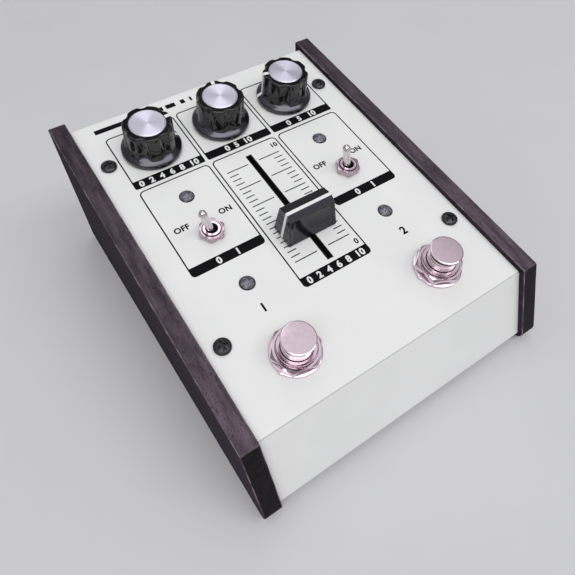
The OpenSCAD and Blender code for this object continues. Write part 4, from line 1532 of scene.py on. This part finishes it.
@dataclass
class Slider:
    """Slider cap with a finger hollow and a white line, on the slide control."""

    panel: PanelFrame
    v: float = 50.7
    foot_w: float = 18.9
    ridge_w: float = 17.0
    length: float = 9.2
    gap: float = 0.6
    top: float = 12.0
    line_w: float = 1.12
    line_in: float = 0.3
    line_out: float = 0.03
    line_lift: float = 0.03
    line_round: float = 0.12
    band: float = 1.9
    band_drop: float = 1.75
    back_in: float = 0.7
    back_drop: float = 0.95
    border: float = 0.8
    hollow: float = 0.35
    hollow_in: Point2 = (0.4, 1.0)
    hollow_share: float = 0.7
    edge: float = 0.13
    face_steps: int = 10

    def build(self) -> None:
        """Builds the cap and its line, and dresses the control."""
        place = self.panel.matrix(0.0, self.v)
        mount(self.cap(place), "slider", "slider_black", "slider_cap")
        mount(self.line(place), "slider", "white_line", "slider_line")
        dress(DARK_HOLE, "slide_pot")
        dress(NICKEL, "slide_lever")

    def half_width(self, h: float) -> float:
        """Gives half the cap's width at a height."""
        share = (h - self.gap) / (self.top - self.gap)
        return (self.foot_w + (self.ridge_w - self.foot_w) * share) / 2

    def outline(self, hollow: float, inset: float) -> list[Point2]:
        """Draws the cap's end view.

        Args:
            hollow: Depth of the finger hollow.
            inset: Shrinking towards the middle.

        Returns:
            Points as v and h, from the front foot over the ridge to the back foot.
        """
        half, line = self.length / 2, self.line_w / 2
        foot, brow = Vector((-half, self.gap)), Vector((-line - self.band, self.top - self.band_drop))
        points: list[Point2] = []
        for k in range(self.face_steps):
            t = k / self.face_steps
            spot = foot.lerp(brow, t)
            points.append((spot.x + hollow * (1 - (2 * t - 1) ** 2), spot.y))
        over = [
            points[-1],
            tuple(brow),
            (-line, self.top),
            (line, self.top),
            (half - self.back_in, self.top - self.back_drop),
            (half, self.gap),
        ]
        points += rounded_path(over, 2 * self.edge)[1:]
        middle, shrink = (self.gap + self.top) / 2, 1 - inset / half
        return [(v * shrink, middle + (h - middle) * shrink) for v, h in points]

    def cap(self, place: Matrix) -> Piece:
        """Makes the cap from end to end.

        Args:
            place: Place of the cap.

        Returns:
            The cap.
        """
        e, b = self.edge, self.border
        near, far = self.hollow_in
        ends = (
            (0.0, 0.0, e),
            (e, 0.0, 0.0),
            (b, 0.0, 0.0),
            (b + near, self.hollow_share * self.hollow, 0.0),
            (b + far, self.hollow, 0.0),
        )
        draft = Draft()
        columns = []
        for side in (-1, 1):
            for inward, hollow, inset in ends[::-side]:
                column = []
                for v, h in self.outline(hollow, inset):
                    column.append(draft.point(Matrix(), side * (self.half_width(h) - inward), v, h))
                columns.append(column)
        draft.tube(columns)
        self.paint_brow_sheen(draft)
        return draft.build("slider_cap_body", [SLIDER_BLACK, SLIDER_BROW_SHEEN], place, crease=30.0)

    def paint_brow_sheen(self, draft: Draft) -> None:
        """Gives the faces between the hollow and the line a paler finish, a painted sheen.

        Args:
            draft: Faces of the cap.
        """
        low, front = self.top - self.band_drop, -self.line_w / 2
        for k, corners in enumerate(draft.faces):
            middle = sum((draft.points[i] for i in corners), Vector()) / len(corners)
            if middle.z > low and middle.y < front:
                draft.marks[k] = CapZone.BROW

    def line(self, place: Matrix) -> Piece:
        """Makes the white line over the ridge and down both ends.

        Args:
            place: Place of the cap.

        Returns:
            The line.
        """
        foot, ridge = self.half_width(self.gap), self.half_width(self.top)
        low = self.gap + self.line_lift
        corners = [(-foot, low), (-ridge, self.top), (ridge, self.top), (foot, low)]
        points = [Vector(p) for p in rounded_path(corners, self.line_round)]
        path = []
        for k, here in enumerate(points):
            way = points[min(k + 1, len(points) - 1)] - points[max(k - 1, 0)]
            out = Vector((-way.y, way.x)).normalized()
            path.append((here.x, here.y, out.x, out.y))
        draft = Draft()
        draft.strip(path, self.line_w / 2, self.line_in, self.line_out)
        return draft.build("slider_cap_line", [WHITE_PLASTIC], place)


@dataclass(frozen=True)
class HexNut:
    """Six-sided nut with a turned bevel on top."""

    width: float
    height: float
    hole_r: float
    land: float = 0.1
    soft: float = 0.14
    slope: float = 1.6
    lead: float = 0.25
    edge: float = 0.1
    brow: float = 0.06
    top_in: float = 0.05
    steps: int = 96

    def side(self, angle: float) -> float:
        """Gives the radius of the flats, less their rounded corners."""
        plain = self.width / 2 / math.cos(angle % SIXTH - SIXTH / 2)
        return min(plain, self.width / 2 / math.cos(SIXTH / 2) - self.soft)

    def crown(self, angle: float) -> float:
        """Gives the height of the flats' upper edge."""
        beyond = max(0.0, self.side(angle) - self.width / 2 - self.land)
        return self.height - self.edge - beyond / self.slope

    def turn(self, draft: Draft, place: Matrix) -> None:
        """Adds the nut to a draft.

        Args:
            draft: Draft that takes it.
            place: Place of its foot.
        """
        rows: list[Row] = [
            level(self.hole_r, 0.0),
            level(self.hole_r, self.height - self.lead),
            level(self.hole_r + self.lead, self.height),
            level(self.width / 2 - self.top_in, self.height),
            lambda t: (self.side(t) - self.brow, self.crown(t) + self.brow / 2),
            lambda t: (self.side(t), self.crown(t) - self.brow),
            lambda t: (self.side(t), self.edge),
            lambda t: (self.side(t) - self.edge, 0.0),
        ]
        draft.lathe(rows, self.steps, place, loop=True)


@dataclass
class Toggle:
    """Toggle switch with its lever."""

    panel: PanelFrame
    side: Side
    u: float = SIDE_U
    v: float = 64.0
    pivot: float = 0.6
    tilt: float = 13.5
    mouth_r: float = 2.0
    mouth_slack: float = 0.05
    bush_low: float = -1.3
    bush_edge: float = 0.12
    tail: float = 4.4
    tail_r: float = 0.65
    tail_edge: float = 0.1
    ball_r: float = 1.5
    ball_steps: int = 10
    neck_r: float = 1.15
    shoulder_r: float = 1.36
    shoulder_drop: float = 0.4
    length: float = 11.2
    tip_r: float = 1.4
    tip_from: float = -10.0
    tip_steps: int = 8
    round_steps: int = 40

    def build(self) -> None:
        """Builds the switch's bushing and its lever."""
        word = self.side.word
        finishes = [BLACK_PLASTIC, CHROME, DARK_HOLE]
        mount_softened(f"{word}_toggle", self.bush_edge, finishes, "black_plastic", self.zone)
        tilt = Matrix.Rotation(math.radians(-self.tilt), 4, "Y")
        place = self.panel.matrix(self.side.value * self.u, self.v, self.pivot) @ tilt
        draft = Draft()
        draft.lathe(self.rows(), self.round_steps)
        lever = draft.build(f"{word}_toggle_lever", [LEVER], place, crease=50.0)
        mount(lever, f"{word}_switch_lever", "chrome_plate", f"{word}_lever")

    def zone(self, middle: Vector, normal: Vector) -> SwitchZone:
        """Tells the bushing, its mouth and the body apart.

        Args:
            middle: Middle of a face.
            normal: Its normal.

        Returns:
            The face's zone.
        """
        spot = self.panel.matrix(self.side.value * self.u, self.v).inverted() @ middle / MM
        r = math.hypot(spot.x, spot.y)
        wall = r < self.mouth_r + self.mouth_slack and abs(normal.dot(self.panel.normal)) < STEEP
        if wall or spot.z < -self.mouth_r and r < self.mouth_r:
            return SwitchZone.BORE
        return SwitchZone.BUSHING if spot.z > self.bush_low else SwitchZone.BODY

    def rows(self) -> list[Row]:
        """Gives the lever's rows.

        Returns:
            Rows from its tail over the ball to its round tip.
        """
        rows = [
            level(0.0, -self.tail),
            level(self.tail_r - self.tail_edge, -self.tail),
            level(self.tail_r, self.tail_edge - self.tail),
        ]
        start = math.asin(self.tail_r / self.ball_r)
        stop = math.pi - math.asin(self.neck_r / self.ball_r)
        for k in range(self.ball_steps + 1):
            a = start + (stop - start) * k / self.ball_steps
            rows.append(level(self.ball_r * math.sin(a), -self.ball_r * math.cos(a)))
        rows.append(level(self.shoulder_r, self.length - self.shoulder_drop))
        for k in range(self.tip_steps):
            a = math.radians(self.tip_from + (90 - self.tip_from) * k / self.tip_steps)
            rows.append(level(self.tip_r * math.cos(a), self.length + self.tip_r * math.sin(a)))
        return rows + [level(0.0, self.length + self.tip_r)]


@dataclass
class Footswitch:
    """Footswitch with its press button and return spring."""

    panel: PanelFrame
    side: Side
    u: float = SIDE_U
    v: float = 15.6
    body_edge: float = 0.14
    round_steps: int = 72
    collar_r: float = 5.5
    collar_low: float = -7.2
    collar_top: float = -5.3
    stem_r: float = 4.72
    stem_round: float = 0.06
    groove_r: float = 4.45
    groove_low: float = 7.0
    groove_slope: float = 0.08
    ring: float = 0.07
    ring_half: float = 0.12
    ring_step: float = 0.7
    rings: int = 4
    cap_r: float = 5.2
    cap_low: float = 9.7
    cap_shade: float = 1.75
    cap_top: float = 10.2
    cap_bevel: Point2 = (0.32, 0.12)
    cap_round: float = 0.1
    bush_low: float = -1.3
    bore_r: float = 4.8
    bore_slack: float = 0.05
    bush_r: float = 6.0
    nut_top: float = 3.5
    bush_top: float = 4.6
    thread: float = 0.09
    thread_turns: int = 2
    thread_gap: Point2 = (0.05, 0.2)
    thread_crest: Point2 = (0.35, 0.55)
    thread_root: float = 0.01
    thread_sunk: float = 0.05
    thread_back: float = 0.02
    thread_steps: int = 80
    key_angle: float = 227.0
    key_half: float = 9.0
    chamber_low: float = -16.4
    seat_gap: float = 0.05
    coil_r: float = 3.5
    coil_turns: float = 4.5
    coil_steps: int = 28
    wire_r: float = 0.45
    wire_steps: int = 10
    travel: float = 2.5

    def build(self) -> None:
        """Builds the switch, its thread, its button and its spring."""
        word = self.side.word
        finishes = [BLACK_PLASTIC, CHROME, DARK_HOLE]
        mount_softened(f"{word}_footswitch", self.body_edge, finishes, "nickel_plate", self.zone)
        place = self.panel.matrix(self.side.value * self.u, self.v)
        draft = Draft()
        draft.lathe(self.thread_rows(), self.thread_steps, loop=True)
        thread = draft.build(f"{word}_footswitch_thread", [CHROME], place, crease=30.0)
        mount(thread, "case", "chrome_plate")
        mount(self.button(place), f"{word}_press", "chrome_plate", f"{word}_button")
        spring = mount(self.spring(place), "case", "zinc_steel", f"{word}_spring")
        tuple(self.panel.normal)
        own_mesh(spring)

    def button(self, place: Matrix) -> Piece:
        """Makes the button: ringed stem, groove, its shaded top and the cap.

        Args:
            place: Place of the switch.

        Returns:
            The button.
        """
        stem = [
            (0.0, self.collar_low),
            (self.collar_r, self.collar_low),
            (self.collar_r, self.collar_top),
            (self.stem_r, self.collar_top),
        ]
        for k in range(self.rings, 0, -1):
            h, half = self.groove_low - k * self.ring_step, self.ring_half
            stem += [(self.stem_r, h), (self.stem_r - self.ring, h + half), (self.stem_r, h + 2 * half)]
        foot, shade = self.groove_low + self.groove_slope, self.cap_low - self.cap_shade
        stem += [(self.stem_r, self.groove_low), (self.groove_r, foot)]
        cap = [
            (self.groove_r, self.cap_low),
            (self.cap_r, self.cap_low),
            (self.cap_r, self.cap_top - self.cap_bevel[1]),
            (self.cap_r - self.cap_bevel[0], self.cap_top),
            (0.0, self.cap_top),
        ]
        parts = (
            (ButtonZone.STEM, rounded_rows(stem, self.stem_round)),
            (ButtonZone.STEM, [level(self.groove_r, foot), level(self.groove_r, shade)]),
            (ButtonZone.SHADE, [level(self.groove_r, shade), level(self.groove_r, self.cap_low)]),
            (ButtonZone.CAP, rounded_rows(cap, self.cap_round)),
        )
        draft = Draft()
        for zone, rows in parts:
            draft.finish = zone
            draft.lathe(rows, self.round_steps)
        return draft.build(f"{self.side.word}_press_button", [CHROME, STEM, DARK_HOLE], place, crease=50.0)

    def spring(self, place: Matrix) -> Piece:
        """Makes the return spring under the button from one coiled wire.

        Args:
            place: Place of the switch.

        Returns:
            The spring.
        """
        count = round(self.coil_turns * self.coil_steps)
        low = self.chamber_low + self.seat_gap + self.wire_r
        rise = self.collar_low - self.seat_gap - self.wire_r - low
        draft = Draft()
        rings: list[list[int]] = []
        for i in range(count + 1):
            a, middle = math.tau * i / self.coil_steps, low + rise * i / count
            ring = []
            for j in range(self.wire_steps):
                b = math.tau * j / self.wire_steps
                r, h = self.coil_r + self.wire_r * math.cos(b), middle + self.wire_r * math.sin(b)
                ring.append(draft.point(Matrix(), r * math.cos(a), r * math.sin(a), h))
            rings.append(ring)
        draft.tube(rings)
        return draft.build(f"{self.side.word}_return_spring", [ZINC], place)

    def zone(self, middle: Vector, normal: Vector) -> SwitchZone:
        """Tells the bushing, its bore and the body apart.

        Args:
            middle: Middle of a face.
            normal: Its normal.

        Returns:
            The face's zone.
        """
        spot = self.panel.matrix(self.side.value * self.u, self.v).inverted() @ middle / MM
        steep = abs(normal.dot(self.panel.normal)) < STEEP
        if steep and math.hypot(spot.x, spot.y) < self.bore_r + self.bore_slack:
            return SwitchZone.BORE
        return SwitchZone.BUSHING if spot.z > self.bush_low else SwitchZone.BODY

    def thread_rows(self) -> list[Row]:
        """Gives the rows of the thread above the nut, with its key slot.

        Returns:
            Rows of a closed loop.
        """
        low, high = self.nut_top + self.thread_gap[0], self.bush_top - self.thread_gap[1]
        pitch = (high - low) / self.thread_turns
        inside = self.bush_r - self.thread_sunk
        root, crest = self.bush_r + self.thread_root, self.bush_r + self.thread

        def ridge(r: float, h: float) -> Row:
            """Gives a row that dips into the key slot."""
            return lambda t: (inside if turned_from(t, self.key_angle) < self.key_half else r, h)

        rows = [level(inside - self.thread_back, low)]
        for k in range(self.thread_turns):
            base = low + k * pitch
            rows.append(ridge(root, base))
            rows += [ridge(crest, base + share * pitch) for share in self.thread_crest]
        return rows + [ridge(root, high), level(inside - self.thread_back, high)]


@dataclass
class SwitchNuts:
    """Nuts and washers of the toggle switches and the footswitches."""

    panel: PanelFrame
    u: float = SIDE_U
    toggle_v: float = 64.0
    foot_v: float = 15.6
    toggle_nut: HexNut = HexNut(8.0, 1.7, 3.05, 0.35)
    foot_nut: HexNut = HexNut(14.0, 2.5, 6.05)
    toggle_lift: float = 0.5
    toggle_edge: float = 0.08
    toggle_turns: Point2 = (0.0, 4.0)
    foot_turns: Point2 = (50.0, 35.0)
    tab_angles: Point2 = (205.0, 180.0)
    washer_r: float = 7.9
    washer_t: float = 1.0
    washer_hole: float = 6.15
    washer_lead: float = 0.12
    washer_round: tuple[Point2, ...] = ((0.2, 0.0), (0.05, 0.08), (0.0, 0.25))
    washer_foot: float = 0.1
    washer_steps: int = 120
    tab_out: float = 0.35
    tab_half: float = 5.0

    def build(self) -> None:
        """Builds the groups of nuts and washers."""
        small, large, washers = Draft(), Draft(), Draft()
        for side, turn in zip(Side, self.toggle_turns):
            self.toggle_nut.turn(small, self.spot(side, self.toggle_v, self.toggle_lift, turn))
        for side, turn, tab in zip(Side, self.foot_turns, self.tab_angles):
            self.foot_nut.turn(large, self.spot(side, self.foot_v, self.washer_t, turn))
            place = self.spot(side, self.foot_v, 0.0, 0.0)
            washers.lathe(self.washer_rows(tab), self.washer_steps, place, loop=True)
        self.pair(small, "toggle_nut", SMALL_NUT)
        mount_softened("toggle_washers", self.toggle_edge, [NICKEL], "chrome_plate")
        self.pair(large, "footswitch_nut", CHROME)
        self.pair(washers, "footswitch_washer", CHROME)
        dress(ZINC, "footswitch_locknuts", "pot_nuts", "pot_washers")

    def pair(self, draft: Draft, name: str, finish: Finish) -> None:
        """Sets a drafted pair on the case, in the stead of its packed group."""
        mount(draft.build(f"{name}_pair", [finish], crease=30.0), "case", "chrome_plate", f"{name}s")

    def spot(self, side: Side, v: float, h: float, turn: float) -> Matrix:
        """Gives a place on the panel in millimetres.

        Args:
            side: Side of the panel.
            v: Distance from the front fold.
            h: Height above the face.
            turn: Turn about the normal, in degrees.

        Returns:
            The place.
        """
        place = self.panel.matrix(side.value * self.u, v, h, turn)
        place.translation /= MM
        return place

    def washer_edge(self, angle: float, tab: float, shrink: float, h: float) -> Point2:
        """Gives a point on a washer's outer edge."""
        out = self.tab_out if turned_from(angle, tab) < self.tab_half else 0.0
        return self.washer_r + out - shrink, h

    def washer_rows(self, tab: float) -> list[Row]:
        """Gives the rows of a washer with one tab.

        Args:
            tab: Angle of the tab.

        Returns:
            Rows of a closed loop.
        """
        t = self.washer_t
        rows = [
            level(self.washer_hole, 0.0),
            level(self.washer_hole, t - self.washer_lead),
            level(self.washer_hole + self.washer_lead, t),
        ]
        edge = [(shrink, t - drop) for shrink, drop in self.washer_round]
        edge += [(0.0, self.washer_foot), (self.washer_foot, 0.0)]
        return rows + [partial(self.washer_edge, tab=tab, shrink=shrink, h=h) for shrink, h in edge]


@dataclass
class Lamp:
    """Clear lamp in the panel, off, with the cup inside it."""

    panel: PanelFrame
    name: str
    u: float
    v: float
    r: float = 2.5
    top: float = 1.2
    edge: float = 0.2
    low: float = -7.0
    rim_r: float = 2.9
    rim_h: float = 1.0
    cup_r: float = 1.9
    cup_top: float = -0.1
    cup_floor: float = -0.9
    cup_flat: Point2 = (0.5, 0.05)
    cup_lip: Point2 = (0.35, 0.2)
    cup_drop: float = 0.1
    base_step: Point2 = (0.05, 0.3)
    wall: float = 0.06
    floor: float = 0.6
    dome_steps: int = 8
    lens_steps: int = 48
    cup_steps: int = 40

    def build(self) -> None:
        """Builds the lens and the cup inside it."""
        place = self.panel.matrix(self.u, self.v)
        mount(self.lens(place), "case", "lamp_clear", self.name)
        mount(self.cup(place), "case", "lamp_clear")

    def lens(self, place: Matrix) -> Piece:
        """Makes the domed lens with its rim under the panel.

        Args:
            place: Place of the lamp.

        Returns:
            The lens.
        """
        ball = (self.r**2 + (self.top - self.edge) ** 2) / (self.top - self.edge) / 2
        profile = [(0.0, self.top)]
        for k in range(1, self.dome_steps + 1):
            a = math.asin(self.r / ball) * k / self.dome_steps
            profile.append((ball * math.sin(a), self.top - ball * (1 - math.cos(a))))
        profile += [
            (self.r, self.low + self.rim_h),
            (self.rim_r, self.low + self.rim_h),
            (self.rim_r, self.low),
            (0.0, self.low),
        ]
        draft = Draft()
        draft.lathe([level(*p) for p in profile], self.lens_steps)
        return draft.build(f"{self.name}_lens", [LENS], place)

    def cup(self, place: Matrix) -> Piece:
        """Makes the speckled cup and the dark base round it, a painted shadow in the gap under the lens.

        Args:
            place: Place of the lamp.

        Returns:
            The cup.
        """
        drop, (out, down) = self.cup_top - self.cup_drop, self.base_step
        cup = [
            (0.0, self.cup_floor),
            (self.cup_flat[0], self.cup_floor + self.cup_flat[1]),
            (self.cup_r - self.cup_lip[0], drop),
            (self.cup_r - self.cup_lip[1], self.cup_top),
            (self.cup_r, drop),
        ]
        # Painted shadow: the dark base round the cup.
        base = [
            (self.cup_r, drop),
            (self.cup_r + out, self.cup_top - down),
            (self.r - self.wall, self.cup_top - down),
            (self.r - self.wall, self.low + self.floor),
            (0.0, self.low + self.floor),
        ]
        draft = Draft()
        for number, profile in enumerate((cup, base)):
            draft.finish = number
            draft.lathe([level(*p) for p in profile], self.cup_steps)
        return draft.build(f"{self.name}_cup", [LAMP_CUP, DARK_HOLE], place)


@dataclass
class BackSockets:
    """Jack sockets and the power socket in the back wall."""

    jacks: tuple[str, ...] = ("input_jack", "output_jack")
    bore_r: float = 3.3
    height: float = 17.0
    wall: float = 1.3
    jack_edge: float = 0.15
    nut_edge: float = 0.1
    power_edge: float = 0.25

    def build(self) -> None:
        """Builds the sockets with their nuts and washers."""
        for name in self.jacks:
            low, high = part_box(name)
            zone = partial(self.zone, (low.x + high.x) / 2 / MM)
            mount_softened(name, self.jack_edge, [BLACK_PLASTIC, NICKEL, DARK_HOLE], "nickel_plate", zone)
        for name in ("jack_nuts", "jack_washers"):
            mount_softened(name, self.nut_edge, [CHROME], "chrome_plate")
        mount_softened("dc_socket", self.power_edge, [BLACK_PLASTIC], "black_plastic")
        mount_softened("dc_pin", self.power_edge, [BRASS], "pin_brass")

    def zone(self, x: float, middle: Vector, normal: Vector) -> SwitchZone:
        """Tells a jack's bushing, bore and body apart.

        Args:
            x: Place of the jack's axis.
            middle: Middle of a face.
            normal: Its normal.

        Returns:
            The face's zone.
        """
        spot = middle / MM
        if math.hypot(spot.x - x, spot.z - self.height) < self.bore_r and abs(normal.y) < STEEP:
            return SwitchZone.BORE
        outside = spot.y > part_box("top_cover")[1].y / MM - self.wall
        return SwitchZone.BUSHING if outside else SwitchZone.BODY


@dataclass
class Inside:
    """Parts under the panel: board, chips, cables and spacers."""

    finishes: dict[str, Finish] = field(
        default_factory=lambda: {
            "circuit_board": BOARD,
            "board_chips": BLACK_PLASTIC,
            "board_capacitors": SLEEVE,
            "flat_cables": CABLE,
            "lamp_spacers": BLACK_PLASTIC,
        }
    )

    def build(self) -> None:
        """Dresses the parts."""
        for node, finish in self.finishes.items():
            dress(finish, node)


@dataclass
class Studio:
    """Pale table, soft light and the camera."""

    target: Point3 = (-11.882, -17.636, 36.679)
    azimuth: float = -32.02
    elevation: float = 48.863
    distance: float = 168.577
    roll: float = -2.364
    lens: float = 33.183
    sensor: float = 36.0
    shift_y: float = -0.0517
    nearest: float = 10.0
    floor_half: float = 4000.0
    sky_blue: float = 1.02
    sky: tuple[Point2, ...] = (
        (0.0, 0.62),
        (0.16, 0.58),
        (0.3, 0.22),
        (0.62, 0.30),
        (0.85, 0.75),
        (1.0, 0.92),
    )
    aim: Point3 = (0.0, 0.0, 30.0)
    lamps: tuple[tuple[str, Point3, Point2, float], ...] = (
        ("key", (-60.0, -885.0, 1565.0), (3000.0, 720.0), 19.7),
        ("back", (500.0, 866.0, 1732.0), (460.0, 1200.0), 1.7),
    )

    def build(self) -> None:
        """Builds the floor, the light and the camera."""
        half = self.floor_half
        corners = ((-half, -half), (half, -half), (half, half), (-half, half))
        draft = Draft()
        draft.face([draft.point(Matrix(), x, y, 0.0) for x, y in corners])
        floor = draft.build("floor", [FLOOR])
        self.world()
        self.lights()
        self.camera()
        bpy.context.scene.view_settings.view_transform = "Standard"

    def world(self) -> None:
        """Makes the soft sky, pale round the horizon and brighter overhead."""
        world = bpy.data.worlds.new("studio_sky")
        world.use_nodes = True
        bpy.context.scene.world = world
        tree = world.node_tree
        nodes, links = tree.nodes, tree.links
        back = nodes["Background"]
        way = nodes.new("ShaderNodeTexCoord")
        parts = nodes.new("ShaderNodeSeparateXYZ")
        links.new(way.outputs["Generated"], parts.inputs[0])
        ramp = nodes.new("ShaderNodeValToRGB")
        stops = ramp.color_ramp.elements
        while len(stops) < len(self.sky):
            stops.new(0.5)
        for stop, (height, light) in zip(stops, self.sky):
            stop.position = height
            stop.color = (light, light, light * self.sky_blue, 1.0)
        links.new(parts.outputs["Z"], ramp.inputs["Fac"])
        links.new(ramp.outputs["Color"], back.inputs["Color"])
        back.inputs["Strength"].default_value = 1.0

    def lights(self) -> None:
        """Makes the soft lights, a wide one in front and a strip behind."""
        for name, place, size, watts in self.lamps:
            light = bpy.data.lights.new(name, "AREA")
            light.energy = watts
            light.shape = "RECTANGLE"
            light.size, light.size_y = (length * MM for length in size)
            lamp = bpy.data.objects.new(name, light)
            bpy.context.scene.collection.objects.link(lamp)
            spot = Vector(place) * MM
            lamp.location = spot
            way = Vector(self.aim) * MM - spot
            lamp.rotation_euler = way.to_track_quat("-Z", "Y").to_euler()

    def camera(self) -> None:
        """Makes the camera at the photograph's place."""
        a, e, roll = (math.radians(x) for x in (self.azimuth, self.elevation, self.roll))
        back = Vector((math.sin(a) * math.cos(e), -math.cos(a) * math.cos(e), math.sin(e)))
        right = Vector((0.0, 0.0, 1.0)).cross(back).normalized()
        up = back.cross(right)
        side = right * math.cos(roll) + up * math.sin(roll)
        top = up * math.cos(roll) - right * math.sin(roll)
        data = bpy.data.cameras.new("camera")
        data.lens = self.lens
        data.sensor_width = self.sensor
        data.shift_y = self.shift_y
        data.clip_start = self.nearest * MM
        camera = bpy.data.objects.new("camera", data)
        bpy.context.scene.collection.objects.link(camera)
        turn = Matrix((side, top, back)).transposed().to_4x4()
        place = Vector(self.target) * MM + back * self.distance * MM
        camera.matrix_world = Matrix.Translation(place) @ turn
        bpy.context.scene.camera = camera


def main() -> None:
    """Builds the looks in order."""
    logging.basicConfig(level=logging.INFO, format="%(name)s: %(message)s")
    panel = PanelFrame.from_joints(frame["joints"], Knob.v)
    Studio().build()
    Case(panel).build()
    PanelPrint(panel).build()
    for name, u, angle in KNOBS:
        Knob(panel, name, u, angle).build()
    Slider(panel).build()
    for side in Side:
        Toggle(panel, side).build()
        Footswitch(panel, side).build()
    SwitchNuts(panel).build()
    for height, v in LAMP_ROWS:
        for side in Side:
            Lamp(panel, f"{height}_{side.word}_lamp", side.value * SIDE_U, v).build()
    BackSockets().build()
    Inside().build()


if __name__ == "__main__":
    main()
